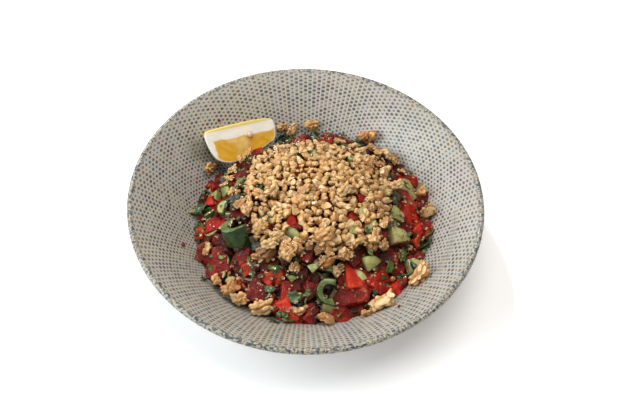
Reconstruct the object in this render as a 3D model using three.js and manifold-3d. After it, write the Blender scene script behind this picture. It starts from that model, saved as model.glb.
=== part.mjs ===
// A wide, low stoneware bowl of chopped tomato, cucumber and pepper salad,
// with crushed walnuts heaped over it and a wedge of lemon at the back left.
// Millimetres, +Z up, origin at the middle of the foot ring's underside.
import * as THREE from 'three';
import { mergeVertices } from 'three/addons/utils/BufferGeometryUtils.js';
import Module from 'manifold-3d';

const wasm = await Module();
wasm.setup();

// bowl
const bowlRadius = 135;
const wallThickness = 4.5;
const floorHeight = 9;
const floorRadius = 58;
const cornerRadius = 83.2;
const wallFootRadius = 90;
const wallFootHeight = 16;
const wallBulgeRadius = 112.2;
const wallBulgeHeight = 38.9;
const lipAngle = THREE.MathUtils.degToRad(33.5);
const footOuterRadius = 56;
const footInnerRadius = 50;
const footEdge = 0.8;
const bowlSides = 48;
const cornerSteps = 3;
const wallSteps = 6;
const lipSteps = 6;
const cavityRoof = 90;

// gaps between neighbouring solids, and how finely their faces are kept
const touchGap = 0.35;
const capGap = 0.6;
const simplifyTolerance = 0.08;
const weldDistance = 1e-3;

// heap of salad, and the cap of crushed walnuts on it
const heapCentre = new THREE.Vector2(6, 0);
const heapRadius = 92;
const heapFootHeight = 13;
const heapPeakHeight = 47;
const heapUnevenness = 1.2;
const capCentre = new THREE.Vector2(9, 8);
const capRadius = 60;
const capThickness = 3.5;
const capCrumbSpacing = 10.4;
const capCrumbMargin = 6;
const capCrumbTip = 0.5;
const capSides = 28;
const capRings = 5;
const heapSides = 24;
const heapRings = 6;
const heapDepth = 60;

// what lies in the heap: sizes from edge to edge
const tomatoSize = { least: 12, most: 19 };
const cucumberSize = { least: 13, most: 22 };
const pepperSize = { least: 9, most: 14 };
const leafSize = { least: 12, most: 19 };
const crumbSize = { least: 6, most: 10 };

// where they lie: distances from the heap's middle, least spacing, and lift as a share of the size
const tomatoBand = { inner: 60, outer: 92, spacing: 17, lift: 0.2 };
const cucumberBand = { inner: 60, outer: 91, spacing: 30, lift: 0.22 };
const pepperBand = { inner: 60, outer: 92, spacing: 34, lift: 0.25 };
const leafBand = { inner: 58, outer: 92, spacing: 38, lift: 0.25 };
const crumbBand = { inner: 66, outer: 97, spacing: 44, lift: 0.5 };
const mostTip = 0.7;
// a piece is left out if its neighbours would cut away more of it than this leaves
const keptShare = 0.86;
const spreadTries = 3000;

// lemon wedge: its core line is along the front, its peel at the back
const lemonTurn = THREE.MathUtils.degToRad(126);
const lemonLowerFace = THREE.MathUtils.degToRad(14);
const lemonUpperFace = THREE.MathUtils.degToRad(51);
const lemonCoreEnd = new THREE.Vector3(-25.06, 73.21, 26.85);
// outline of a cut face, by distance along the core line and out from it:
// from the trimmed end over the peel to the rounded end, and back beside the core
const lemonOutline = [
  [0.2, 4], [-3.4, 12], [-3.6, 17.6], [-2.4, 20.4], [4.6, 23.5], [14.9, 26.4], [28, 29.3], [41, 31.8],
  [52.5, 33.4], [55, 31.5], [55.7, 26.2], [55.4, 20], [54.7, 15.3], [53.1, 10.5], [50.1, 6.4],
  [45.8, 3.5], [40.9, 1.6], [31.1, 0.5], [21.3, 0.6], [14.2, 1.1], [5.8, 2.5],
];
const lemonMiddle = new THREE.Vector2(16, 26);
const lemonTaper = 0.009;
const lemonSides = 48;

// large pieces of walnut, by bearing from the bowl's axis, in degrees
const largeWalnuts = [
  { bearing: -31, radius: 101, length: 21, width: 15, turn: 20 },
  { bearing: -51, radius: 97, length: 20, width: 12, turn: 95 },
  { bearing: -110, radius: 91, length: 16, width: 11, turn: 10 },
  { bearing: -123, radius: 92, length: 15, width: 12, turn: 50 },
  { bearing: -131, radius: 82, length: 15, width: 11, turn: 120 },
  { bearing: -143, radius: 88, length: 17, width: 12, turn: 60 },
  { bearing: 6, radius: 99, length: 15, width: 12, turn: 80 },
  { bearing: 41, radius: 97, length: 18, width: 13, turn: 140 },
  { bearing: 88, radius: 95, length: 17, width: 13, turn: 15 },
  { bearing: 60, radius: 99, length: 14, width: 10, turn: 100 },
];
const largeWalnutHeight = 10;
const largeWalnutLift = 4.2;

// curved pieces of green pepper: sweep, turn and tip in degrees
const pepperPieces = [
  { bearing: -151, radius: 56, outer: 11, wall: 4.5, depth: 15, sweep: 190, turn: 145, tip: -35 },
  { bearing: -75, radius: 74, outer: 10, wall: 4.5, depth: 11, sweep: 230, turn: 65, tip: 10 },
];
const pepperLift = 0.32;
const pepperSteps = 8;

const ceramic = { color: 0xb3aca0, roughness: 0.42, metalness: 0 };
const chopped = { color: 0xa8382a, roughness: 0.3, metalness: 0 };
const walnut = { color: 0xb98a55, roughness: 0.6, metalness: 0 };
const citrus = { color: 0xe6b544, roughness: 0.35, metalness: 0 };
const pepper = { color: 0x35572a, roughness: 0.25, metalness: 0 };

let seed = 20;
function random() {
  seed = (seed * 1664525 + 1013904223) % 4294967296;
  return seed / 4294967296;
}

function between(least, most) {
  return least + (most - least) * random();
}

// ---- from three.js geometry to a solid and back ----

function solidOf(geometry) {
  const bare = geometry.index ? geometry.toNonIndexed() : geometry.clone();
  bare.deleteAttribute('normal');
  bare.deleteAttribute('uv');
  const merged = mergeVertices(bare, weldDistance);
  const corners = merged.index.array;
  const kept = [];
  for (let i = 0; i < corners.length; i += 3) {
    const [a, b, c] = [corners[i], corners[i + 1], corners[i + 2]];
    if (a !== b && b !== c && c !== a) {
      kept.push(a, b, c);
    }
  }
  return new wasm.Manifold(new wasm.Mesh({
    numProp: 3,
    vertProperties: new Float32Array(merged.attributes.position.array),
    triVerts: new Uint32Array(kept),
  }));
}

// The largest body of a solid: sealed hollows are filled and loose scraps dropped.
function oneBody(solid) {
  const bodies = solid.decompose();
  bodies.sort((a, b) => b.volume() - a.volume());
  return bodies[0];
}

function meshOf(name, solid, look) {
  const { vertProperties, triVerts, numProp } = oneBody(solid).simplify(simplifyTolerance).getMesh();
  const places = new Float32Array((vertProperties.length / numProp) * 3);
  for (let i = 0; i < places.length / 3; i += 1) {
    places.set(vertProperties.slice(i * numProp, i * numProp + 3), i * 3);
  }
  const geometry = new THREE.BufferGeometry();
  geometry.setAttribute('position', new THREE.BufferAttribute(places, 3));
  geometry.setIndex(new THREE.BufferAttribute(new Uint32Array(triVerts), 1));
  geometry.computeVertexNormals();
  const mesh = new THREE.Mesh(geometry, new THREE.MeshStandardMaterial(look));
  mesh.name = name;
  return mesh;
}

function turned(profile, sides) {
  return new THREE.LatheGeometry(profile, sides).rotateX(Math.PI / 2);
}

// ---- bowl ----

function innerProfile() {
  const lip = lipCentre();
  const normal = new THREE.Vector2(-Math.sin(lipAngle), Math.cos(lipAngle));
  const top = lip.clone().addScaledVector(normal, wallThickness / 2);
  const corner = new THREE.QuadraticBezierCurve(
    new THREE.Vector2(floorRadius, floorHeight),
    new THREE.Vector2(cornerRadius, floorHeight),
    new THREE.Vector2(wallFootRadius, wallFootHeight),
  );
  const wall = new THREE.QuadraticBezierCurve(
    new THREE.Vector2(wallFootRadius, wallFootHeight),
    new THREE.Vector2(wallBulgeRadius, wallBulgeHeight),
    top,
  );
  return [...corner.getPoints(cornerSteps), ...wall.getPoints(wallSteps).slice(1)];
}

function lipCentre() {
  const top = new THREE.Vector2(bowlRadius - wallThickness / 2, 0);
  const run = bowlRadius - wallThickness / 2 - wallBulgeRadius;
  const half = wallThickness / 2;
  const inner = run - half * Math.sin(lipAngle);
  top.y = wallBulgeHeight + inner * Math.tan(lipAngle) - half * Math.cos(lipAngle);
  return top;
}

// A profile moved sideways by a distance, to its right as it is walked along.
function offsetProfile(points, distance) {
  return points.map((point, i) => {
    const before = points[Math.max(i - 1, 0)];
    const after = points[Math.min(i + 1, points.length - 1)];
    const along = after.clone().sub(before).normalize();
    return new THREE.Vector2(point.x + along.y * distance, point.y - along.x * distance);
  });
}

function makeBowl() {
  const inner = innerProfile();
  const outer = offsetProfile(inner, wallThickness).reverse();
  const centre = lipCentre();
  const lip = [];
  for (let i = 1; i < lipSteps; i += 1) {
    const angle = Math.PI / 2 + lipAngle - (i / lipSteps) * Math.PI;
    const arm = new THREE.Vector2(Math.cos(angle), Math.sin(angle));
    lip.push(centre.clone().addScaledVector(arm, wallThickness / 2));
  }
  const underside = floorHeight - wallThickness;
  const profile = [
    new THREE.Vector2(0, floorHeight),
    ...inner,
    ...lip,
    ...outer,
    new THREE.Vector2(footOuterRadius, footEdge),
    new THREE.Vector2(footOuterRadius - footEdge, 0),
    new THREE.Vector2(footInnerRadius + footEdge, 0),
    new THREE.Vector2(footInnerRadius, footEdge),
    new THREE.Vector2(footInnerRadius, underside),
    new THREE.Vector2(0, underside),
  ];
  return solidOf(turned(profile.reverse(), bowlSides));
}

// The space inside the bowl, a little clear of its wall, open far above the rim.
function makeCavity() {
  const wall = offsetProfile(innerProfile(), -touchGap);
  const profile = [
    new THREE.Vector2(0, floorHeight + touchGap),
    ...wall,
    new THREE.Vector2(bowlRadius, lipCentre().y + wallThickness),
    new THREE.Vector2(bowlRadius, cavityRoof),
    new THREE.Vector2(0, cavityRoof),
  ];
  return solidOf(turned(profile, bowlSides));
}

// Height of the bowl's inner face at a distance from its axis.
const wallPoints = innerProfile();
function wallHeight(radius) {
  for (let i = 1; i < wallPoints.length; i += 1) {
    const [low, high] = [wallPoints[i - 1], wallPoints[i]];
    if (radius >= low.x && radius <= high.x) {
      return low.y + ((high.y - low.y) * (radius - low.x)) / (high.x - low.x);
    }
  }
  return floorHeight;
}

// ---- heap ----

function heapHeight(x, y) {
  const away = Math.hypot(x - heapCentre.x, y - heapCentre.y) / heapRadius;
  const crown = Math.max(0, 1 - away ** 2.4) ** 0.9;
  const bumps = Math.sin(x * 0.13 + 1) * Math.cos(y * 0.11) + 0.6 * Math.sin(x * 0.07 - y * 0.16);
  return heapFootHeight + (heapPeakHeight - heapFootHeight) * crown + heapUnevenness * bumps;
}

function restHeight(x, y) {
  return Math.max(heapHeight(x, y), wallHeight(Math.hypot(x, y)));
}

// A flat-bottomed dome whose top follows heapHeight, raised by a distance.
function makeDome(centre, radius, sides, rings, raise, depth) {
  const profile = [new THREE.Vector2(0, -depth), new THREE.Vector2(radius, -depth)];
  for (let i = rings; i >= 0; i -= 1) {
    profile.push(new THREE.Vector2((radius * i) / rings, 0));
  }
  const geometry = turned(profile, sides);
  geometry.translate(centre.x, centre.y, 0);
  const places = geometry.attributes.position;
  for (let i = 0; i < places.count; i += 1) {
    const top = heapHeight(places.getX(i), places.getY(i)) + raise;
    places.setZ(i, places.getZ(i) < -depth / 2 ? top - depth : top);
  }
  return solidOf(geometry);
}

// ---- pieces, each made about its own middle ----

function jittered(geometry, share) {
  const bare = geometry.clone();
  bare.deleteAttribute('normal');
  bare.deleteAttribute('uv');
  const merged = mergeVertices(bare, weldDistance);
  const places = merged.attributes.position;
  for (let i = 0; i < places.count; i += 1) {
    places.setXYZ(
      i,
      places.getX(i) * between(1 - share, 1 + share),
      places.getY(i) * between(1 - share, 1 + share),
      places.getZ(i) * between(1 - share, 1 + share),
    );
  }
  return merged;
}

// Slants a piece at random, which keeps its flat faces flat.
function sheared(geometry, share) {
  const slants = Array.from({ length: 6 }, () => between(-share, share));
  return geometry.applyMatrix4(new THREE.Matrix4().makeShear(...slants));
}

function tomatoDice() {
  const size = between(tomatoSize.least, tomatoSize.most);
  const box = new THREE.BoxGeometry(size, size * between(0.7, 1), size * between(0.55, 0.8));
  return { size, geometry: sheared(box, 0.28) };
}

function cucumberSlice() {
  const size = between(cucumberSize.least, cucumberSize.most);
  const thick = between(4, 7);
  const sweep = random() < 0.5 ? Math.PI : Math.PI / 2;
  const shape = new THREE.Shape();
  shape.moveTo(0, 0);
  shape.absarc(0, 0, sweep > 2 ? size / 2 : size * 0.7, 0, sweep, false);
  shape.closePath();
  const options = { depth: thick, bevelEnabled: false, curveSegments: 6 };
  const geometry = new THREE.ExtrudeGeometry(shape, options);
  geometry.computeBoundingBox();
  geometry.center();
  geometry.rotateX(Math.PI / 2);
  return { size, geometry };
}

function arcBand(outer, wall, depth, sweep, steps = pepperSteps) {
  const shape = new THREE.Shape();
  shape.absarc(0, 0, outer, 0, sweep, false);
  shape.absarc(0, 0, outer - wall, sweep, 0, true);
  shape.closePath();
  const options = { depth, bevelEnabled: false, curveSegments: steps };
  return new THREE.ExtrudeGeometry(shape, options).translate(0, 0, -depth / 2);
}

function pepperStrip() {
  const size = between(pepperSize.least, pepperSize.most);
  const geometry = arcBand(size * 0.7, 3, size * 0.6, Math.PI * 0.6, 3);
  geometry.center();
  return { size, geometry };
}

// A lobed leaf, thin and bent in waves; both faces are split alike.
function herbLeaf() {
  const size = between(leafSize.least, leafSize.most);
  const lobes = 4;
  const shape = new THREE.Shape();
  shape.moveTo(-size * 0.5, -0.8);
  for (let i = 0; i < lobes * 2 - 1; i += 1) {
    const angle = -1.9 + (3.8 * i) / (lobes * 2 - 2);
    const reach = (i % 2 === 0 ? 0.52 : 0.3) * size;
    shape.lineTo(reach * Math.cos(angle), reach * Math.sin(angle));
  }
  shape.lineTo(-size * 0.5, 0.8);
  shape.closePath();
  const geometry = new THREE.ExtrudeGeometry(shape, { depth: 0.9, bevelEnabled: false });
  const places = geometry.attributes.position;
  const phase = between(0, 6);
  for (let i = 0; i < places.count; i += 1) {
    const wave = Math.sin((places.getX(i) / size) * 5 + phase) * 0.11 * size;
    const fold = Math.abs(places.getY(i)) * 0.25;
    places.setZ(i, places.getZ(i) + wave + fold);
  }
  return { size, geometry };
}

function crumb(size) {
  const geometry = sheared(new THREE.BoxGeometry(0.85, 0.85, 0.85), 0.45);
  geometry.scale(size * between(0.8, 1.2), size * between(0.6, 0.9), size * between(0.5, 0.75));
  return geometry;
}

function looseCrumb() {
  const size = between(crumbSize.least, crumbSize.most);
  return { size, geometry: crumb(size) };
}

// A knobbly kernel piece with a groove along it.
function walnutPiece({ length, width }) {
  const geometry = jittered(new THREE.IcosahedronGeometry(0.5, 1), 0.1);
  const places = geometry.attributes.position;
  for (let i = 0; i < places.count; i += 1) {
    const groove = 1 - 0.28 * Math.exp(-((places.getY(i) / 0.12) ** 2));
    const ribs = 1 + 0.12 * Math.sin(places.getX(i) * 14);
    places.setY(i, places.getY(i) * ribs);
    places.setZ(i, places.getZ(i) * groove);
  }
  geometry.scale(length, width, largeWalnutHeight);
  return geometry;
}

// Turns a piece to lie on the heap at a place, spun about the heap's normal.
function layDown(geometry, x, y, { spin, tip = 0, lift = 0 }) {
  const step = 2;
  const slopeX = (heapHeight(x + step, y) - heapHeight(x - step, y)) / (2 * step);
  const slopeY = (heapHeight(x, y + step) - heapHeight(x, y - step)) / (2 * step);
  const normal = new THREE.Vector3(-slopeX, -slopeY, 1).normalize();
  const placed = geometry.clone();
  placed.rotateZ(spin);
  placed.rotateX(tip);
  const lean = new THREE.Quaternion().setFromUnitVectors(new THREE.Vector3(0, 0, 1), normal);
  placed.applyQuaternion(lean);
  placed.translate(x, y, restHeight(x, y));
  placed.translate(normal.x * lift, normal.y * lift, normal.z * lift);
  return placed;
}

// Places spread evenly over a ring, no two closer than a spacing.
function spread(centre, inner, outer, spacing) {
  const places = [];
  for (let i = 0; i < spreadTries; i += 1) {
    const radius = Math.sqrt(between(inner * inner, outer * outer));
    const bearing = between(0, 2 * Math.PI);
    const x = centre.x + radius * Math.cos(bearing);
    const y = centre.y + radius * Math.sin(bearing);
    if (places.every((place) => Math.hypot(place.x - x, place.y - y) > spacing)) {
      places.push({ x, y });
    }
  }
  return places;
}

// A convex piece swollen about its own middle by a gap all round.
function swollen(geometry, gap) {
  const grown = geometry.clone();
  grown.computeBoundingBox();
  const middle = grown.boundingBox.getCenter(new THREE.Vector3());
  const size = grown.boundingBox.getSize(new THREE.Vector3());
  grown.translate(-middle.x, -middle.y, -middle.z);
  grown.scale(1 + (2 * gap) / size.x, 1 + (2 * gap) / size.y, 1 + (2 * gap) / size.z);
  return grown.translate(middle.x, middle.y, middle.z);
}

function unionOf(solids) {
  return wasm.Manifold.union(solids);
}

// ---- lemon ----

// A wedge of a body turned about the core line, grown by a gap on every side.
function makeLemon(gap) {
  const profile = lemonOutline.map(([along, out]) => new THREE.Vector2(out, along));
  const bounds = new THREE.Box2().setFromPoints(profile);
  const size = bounds.getSize(new THREE.Vector2());
  const leastReach = Math.min(...lemonOutline.map(([, out]) => out));
  for (const point of profile) {
    point.sub(lemonMiddle);
    point.x *= 1 + (2 * gap) / size.x;
    point.y *= 1 + (2 * gap) / size.y;
    point.add(lemonMiddle);
    point.x = Math.max(point.x, leastReach);
  }
  const whole = new THREE.LatheGeometry([...profile, profile[0]], lemonSides);
  // its ends draw in towards the lower cut face
  const places = whole.attributes.position;
  for (let i = 0; i < places.count; i += 1) {
    const below = places.getX(i) * Math.sin(lemonUpperFace) - places.getZ(i) * Math.cos(lemonUpperFace);
    const fromMiddle = (places.getY(i) - lemonMiddle.y) * (1 - lemonTaper * below);
    places.setY(i, lemonMiddle.y + fromMiddle);
  }
  const opening = lemonUpperFace - lemonLowerFace;
  const facing = (lemonUpperFace + lemonLowerFace) / 2;
  const back = gap / Math.sin(opening / 2);
  const reach = 2 * size.x;
  const sector = new THREE.Shape();
  sector.moveTo(-back * Math.cos(facing), -back * Math.sin(facing));
  for (const angle of [lemonLowerFace, lemonUpperFace]) {
    sector.lineTo(reach * Math.cos(angle), reach * Math.sin(angle));
  }
  sector.closePath();
  const long = size.y * 2;
  const prism = new THREE.ExtrudeGeometry(sector, { depth: long, bevelEnabled: false });
  prism.rotateX(Math.PI / 2);
  prism.translate(0, long * 0.75, 0);
  const [body, wedge] = [whole, prism].map((geometry) => {
    geometry.rotateZ(lemonTurn);
    return solidOf(geometry.translate(lemonCoreEnd.x, lemonCoreEnd.y, lemonCoreEnd.z));
  });
  return body.intersect(wedge);
}

// ---- the dish ----

const dish = new THREE.Group();
const bowl = makeBowl();
const cavity = makeCavity();
dish.add(meshOf('bowl', bowl, ceramic));

const lemon = makeLemon(0).intersect(cavity);
dish.add(meshOf('lemon_wedge', lemon, citrus));
const seats = [makeLemon(touchGap)];

largeWalnuts.forEach((piece, i) => {
  const bearing = THREE.MathUtils.degToRad(piece.bearing);
  const x = piece.radius * Math.cos(bearing);
  const y = piece.radius * Math.sin(bearing);
  const spin = THREE.MathUtils.degToRad(piece.turn);
  const placed = layDown(walnutPiece(piece), x, y, { spin, lift: largeWalnutLift });
  const others = unionOf(seats);
  const clear = solidOf(placed).intersect(cavity).subtract(others);
  dish.add(meshOf(`walnut_piece_${i + 1}`, clear, walnut));
  seats.push(solidOf(swollen(placed, touchGap)));
});

pepperPieces.forEach((piece, i) => {
  const bearing = THREE.MathUtils.degToRad(piece.bearing);
  const x = piece.radius * Math.cos(bearing);
  const y = piece.radius * Math.sin(bearing);
  const spin = THREE.MathUtils.degToRad(piece.turn);
  const sweep = THREE.MathUtils.degToRad(piece.sweep);
  const tip = THREE.MathUtils.degToRad(piece.tip);
  const pose = { spin, tip, lift: piece.depth * pepperLift };
  const band = (gap) => arcBand(piece.outer + gap, piece.wall + 2 * gap, piece.depth + 2 * gap, sweep);
  const clear = solidOf(layDown(band(0), x, y, pose)).subtract(unionOf(seats));
  dish.add(meshOf(`green_pepper_piece_${i + 1}`, clear, pepper));
  seats.push(solidOf(layDown(band(touchGap), x, y, pose)));
});

const seatSpace = unionOf(seats);

// the walnut cap stands on the bare heap
const crumbPlaces = spread(capCentre, 0, capRadius - capCrumbMargin, capCrumbSpacing);
const crumbs = crumbPlaces.map(({ x, y }) => {
  const geometry = crumb(between(crumbSize.least, crumbSize.most));
  const tip = between(-capCrumbTip, capCrumbTip);
  return solidOf(layDown(geometry, x, y, { spin: between(0, 2 * Math.PI), tip, lift: capThickness + 1 }));
});
const capLayer = makeDome(capCentre, capRadius, capSides, capRings, capThickness, capThickness * 2);
const heapClear = makeDome(heapCentre, heapRadius, heapSides, heapRings, capGap, heapDepth);
const cap = unionOf([capLayer, ...crumbs]).subtract(heapClear).subtract(seatSpace);
dish.add(meshOf('walnut_topping', cap, walnut));
// pieces round the cap keep out of this plain drum, which holds all of its crumbs
const capReach = capRadius + 2;
const capSpace = makeDome(capCentre, capReach, capSides, 1, heapDepth / 2, heapDepth);

// the pieces that show round the cap, fused to the heap
function scatter(makePiece, { inner, outer, spacing, lift }) {
  const kept = [];
  for (const { x, y } of spread(heapCentre, inner, outer, spacing)) {
    const { size, geometry } = makePiece();
    const pose = { spin: between(0, 2 * Math.PI), tip: between(-mostTip, mostTip), lift: size * lift };
    const solid = solidOf(layDown(geometry, x, y, pose)).intersect(cavity);
    const clear = solid.subtract(capSpace).subtract(seatSpace);
    if (clear.volume() > keptShare * solid.volume()) {
      kept.push(clear);
    }
  }
  return kept;
}
const heap = makeDome(heapCentre, heapRadius, heapSides, heapRings, 0, heapDepth).intersect(cavity);
const pieces = [
  ...scatter(tomatoDice, tomatoBand),
  ...scatter(cucumberSlice, cucumberBand),
  ...scatter(pepperStrip, pepperBand),
  ...scatter(herbLeaf, leafBand),
  ...scatter(looseCrumb, crumbBand),
];
dish.add(meshOf('salad_heap', unionOf([heap, ...pieces]).subtract(seatSpace), chopped));

export default dish;
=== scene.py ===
import math
import random

import bmesh
import bpy
import numpy as np
from mathutils import Euler, Matrix, Vector, noise


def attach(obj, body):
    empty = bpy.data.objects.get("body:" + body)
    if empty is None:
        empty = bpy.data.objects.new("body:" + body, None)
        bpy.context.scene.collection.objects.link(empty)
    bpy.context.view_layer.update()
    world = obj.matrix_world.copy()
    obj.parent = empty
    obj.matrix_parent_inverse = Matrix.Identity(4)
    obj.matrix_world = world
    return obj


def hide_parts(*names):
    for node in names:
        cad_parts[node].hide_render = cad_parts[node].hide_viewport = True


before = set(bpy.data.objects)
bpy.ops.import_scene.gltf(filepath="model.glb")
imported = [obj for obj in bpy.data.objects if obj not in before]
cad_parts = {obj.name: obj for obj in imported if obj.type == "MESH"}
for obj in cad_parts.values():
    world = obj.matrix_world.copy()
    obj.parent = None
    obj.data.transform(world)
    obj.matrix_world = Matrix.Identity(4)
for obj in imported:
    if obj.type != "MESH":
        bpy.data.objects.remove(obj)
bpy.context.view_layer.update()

# everything is modelled in millimetres and scaled to metres when a piece is finished
mm = 0.001
scene = bpy.context.scene
scene.view_settings.view_transform = "Standard"
draw = random.Random(7)
noise.seed_set(7)


# camera

view = {
    "imageSize": (621, 420),
    "focalPixels": 1015.5,
    "elevation": 52.295,      # degrees above the rim's plane
    "roll": 1.63,
    "distance": 769.5,        # to the middle of the rim
    "rimHeight": 50.5,
    "offset": (-4.51, -13.87),  # where the rim's middle stands from the picture's, in pixels
}


def cameraAxes():
    up = math.radians(view["elevation"])
    away = Vector((0, -math.cos(up), math.sin(up)))
    right = Vector((1, 0, 0))
    top = right.cross(-away)
    roll = math.radians(view["roll"])
    right, top = (
        right * math.cos(roll) + top * math.sin(roll),
        top * math.cos(roll) - right * math.sin(roll),
    )
    place = away * view["distance"] + Vector((0, 0, view["rimHeight"]))
    return place, right, top, away


def makeCamera():
    place, right, top, away = cameraAxes()
    data = bpy.data.cameras.new("photoCamera")
    width = view["imageSize"][0]
    data.sensor_width = 36
    data.lens = view["focalPixels"] / width * data.sensor_width
    data.shift_x = -view["offset"][0] / width
    data.shift_y = view["offset"][1] / width
    camera = bpy.data.objects.new("photoCamera", data)
    turn = Matrix((right, top, away)).transposed().to_4x4()
    camera.matrix_world = Matrix.Translation(place * mm) @ turn
    scene.collection.objects.link(camera)
    scene.camera = camera


def raySeen(pixel):
    place, right, top, away = cameraAxes()
    width, height = view["imageSize"]
    across = (pixel[0] - width / 2 - view["offset"][0]) / view["focalPixels"]
    down = (pixel[1] - height / 2 - view["offset"][1]) / view["focalPixels"]
    return place, (-away + right * across - top * down).normalized()


# light and floor

studio = {
    "world": (0.36, (1.0, 0.96, 0.90)),
    "window": {"at": (-1000, -250, 640), "size": (800, 800), "watts": 14.5, "colour": (0.85, 0.935, 1.0)},
    "sheen": {"at": (-1100, 1000, 620), "size": (900, 500), "watts": 2, "colour": (0.95, 0.98, 1.0)},
    "overhead": {"at": (150, 100, 1300), "size": (900, 900), "watts": 10.5, "colour": (1.0, 0.98, 0.95)},
    "spark": {"at": (-350, 900, 900), "size": (110, 110), "watts": 8, "colour": (0.88, 0.95, 1.0)},
    "floor": 6000,
}


def makeLight(name):
    values = studio[name]
    data = bpy.data.lights.new(name, "AREA")
    data.shape = "RECTANGLE"
    data.size, data.size_y = (side * mm for side in values["size"])
    data.energy = values["watts"]
    data.color = values["colour"]
    light = bpy.data.objects.new(name, data)
    place = Vector(values["at"])
    light.location = place * mm
    light.rotation_euler = (Vector((0, 0, 20)) - place).to_track_quat("-Z", "Y").to_euler()
    scene.collection.objects.link(light)


# shader helpers

def addNode(tree, kind, inputs=None, **settings):
    node = tree.nodes.new(kind)
    for name, value in settings.items():
        setattr(node, name, value)
    for name, value in (inputs or {}).items():
        socket = node.inputs[name]
        if isinstance(value, bpy.types.NodeSocket):
            tree.links.new(value, socket)
        else:
            socket.default_value = value
    return node


def maths(tree, operation, first, second=0.0, third=0.0):
    return addNode(tree, "ShaderNodeMath", {0: first, 1: second, 2: third}, operation=operation).outputs[0]


def mixColour(tree, factor, first, second):
    node = addNode(tree, "ShaderNodeMix", {0: factor, 6: first, 7: second}, data_type="RGBA")
    return node.outputs[2]


def between(tree, value, low, high, toLow=0.0, toHigh=1.0):
    inputs = {"Value": value, "From Min": low, "From Max": high, "To Min": toLow, "To Max": toHigh}
    return addNode(tree, "ShaderNodeMapRange", inputs, interpolation_type="SMOOTHSTEP").outputs[0]


def colourRamp(tree, factor, stops):
    node = addNode(tree, "ShaderNodeValToRGB", {0: factor})
    elements = node.color_ramp.elements
    elements[0].position, elements[1].position = stops[0][0], stops[-1][0]
    for place, colour in stops[1:-1]:
        elements.new(place)
    for element, (place, colour) in zip(elements, stops):
        element.color = (*colour, 1)
    return node.outputs[0]


def startMaterial(name, **values):
    material = bpy.data.materials.new(name)
    material.use_nodes = True
    tree = material.node_tree
    shader = tree.nodes["Principled BSDF"]
    for socket, value in values.items():
        shader.inputs[socket.replace("_", " ")].default_value = value
    return material, tree, shader


def bump(tree, height, strength, distance):
    inputs = {"Height": height, "Strength": strength, "Distance": distance}
    return addNode(tree, "ShaderNodeBump", inputs).outputs[0]


def paint(tree, shader, colour, height, strength, distance):
    tree.links.new(colour, shader.inputs["Base Color"])
    tree.links.new(bump(tree, height, strength, distance), shader.inputs["Normal"])


def objectPlace(tree):
    return addNode(tree, "ShaderNodeTexCoord").outputs["Object"]


def mapPlace(tree, name):
    return addNode(tree, "ShaderNodeUVMap", uv_map=name).outputs[0]


def partsOf(tree, vector):
    return addNode(tree, "ShaderNodeSeparateXYZ", {0: vector}).outputs


def cellular(tree, vector, scale):
    return addNode(tree, "ShaderNodeTexVoronoi", {"Vector": vector, "Scale": scale}).outputs


def noiseAt(tree, vector, scale, detail, roughness=0.5):
    inputs = {"Vector": vector, "Scale": scale, "Detail": detail, "Roughness": roughness}
    return addNode(tree, "ShaderNodeTexNoise", inputs).outputs[0]


def objectNoise(tree, scale, detail=3.0):
    return noiseAt(tree, objectPlace(tree), scale, detail, 0.55)


def distanceFrom(tree, vector, point):
    inputs = {0: vector, 1: Vector(point) * mm}
    return addNode(tree, "ShaderNodeVectorMath", inputs, operation="DISTANCE").outputs["Value"]


def attribute(tree, name):
    return addNode(tree, "ShaderNodeAttribute", attribute_name=name).outputs["Fac"]


# each laid piece carries its own tone, from 0 to 1
def pieceTone(tree):
    return attribute(tree, "tone")


# a wet cut surface: a mottle from one noise and a fine grain from another
def buildMottleGroup():
    group = bpy.data.node_groups.new("cutMottle", "ShaderNodeTree")
    for name, value in (("Coarse", 150.0), ("Fine", 900.0)):
        socket = group.interface.new_socket(name=name, in_out="INPUT", socket_type="NodeSocketFloat")
        socket.default_value = value
    for name in ("Mottle", "Grain"):
        group.interface.new_socket(name=name, in_out="OUTPUT", socket_type="NodeSocketFloat")
    start = addNode(group, "NodeGroupInput")
    place = objectPlace(group)
    addNode(group, "NodeGroupOutput", {
        "Mottle": noiseAt(group, place, start.outputs["Coarse"], 3.0),
        "Grain": noiseAt(group, place, start.outputs["Fine"], 2.0),
    })
    return group


def mottled(tree, coarse, fine):
    node = addNode(tree, "ShaderNodeGroup")
    node.node_tree = cutMottle
    node.inputs["Coarse"].default_value = coarse
    node.inputs["Fine"].default_value = fine
    return node.outputs["Mottle"], node.outputs["Grain"]


cutMottle = buildMottleGroup()


# specks of ground spice and torn herb that stick to the wet pieces
def buildSpeckGroup():
    group = bpy.data.node_groups.new("spiceDust", "ShaderNodeTree")
    for name in ("Dark", "Green"):
        group.interface.new_socket(name=name, in_out="OUTPUT", socket_type="NodeSocketFloat")
    place = objectPlace(group)
    patches = noiseAt(group, place, 45.0, 2.0)
    results = {}
    for name, scale, least, most in (("Dark", 620.0, 0.17, 0.30), ("Green", 330.0, 0.10, 0.17)):
        specks = cellular(group, place, scale)
        kept = between(group, partsOf(group, specks["Color"])[0], 0.50, 0.54)
        size = between(group, patches, 0.38, 0.62, least, most)
        dot = maths(group, "LESS_THAN", specks["Distance"], size)
        results[name] = maths(group, "MULTIPLY", dot, kept)
    addNode(group, "NodeGroupOutput", results)
    return group


spiceDust = buildSpeckGroup()


# painted shade: darker where a point lies deep between the pieces, where light fades
def shadeBetweenPieces(tree, colour, amount=0.8, shade=(0.022, 0.004, 0.002, 1)):
    return mixColour(tree, maths(tree, "MULTIPLY", attribute(tree, "deep"), amount), colour, shade)


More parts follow.
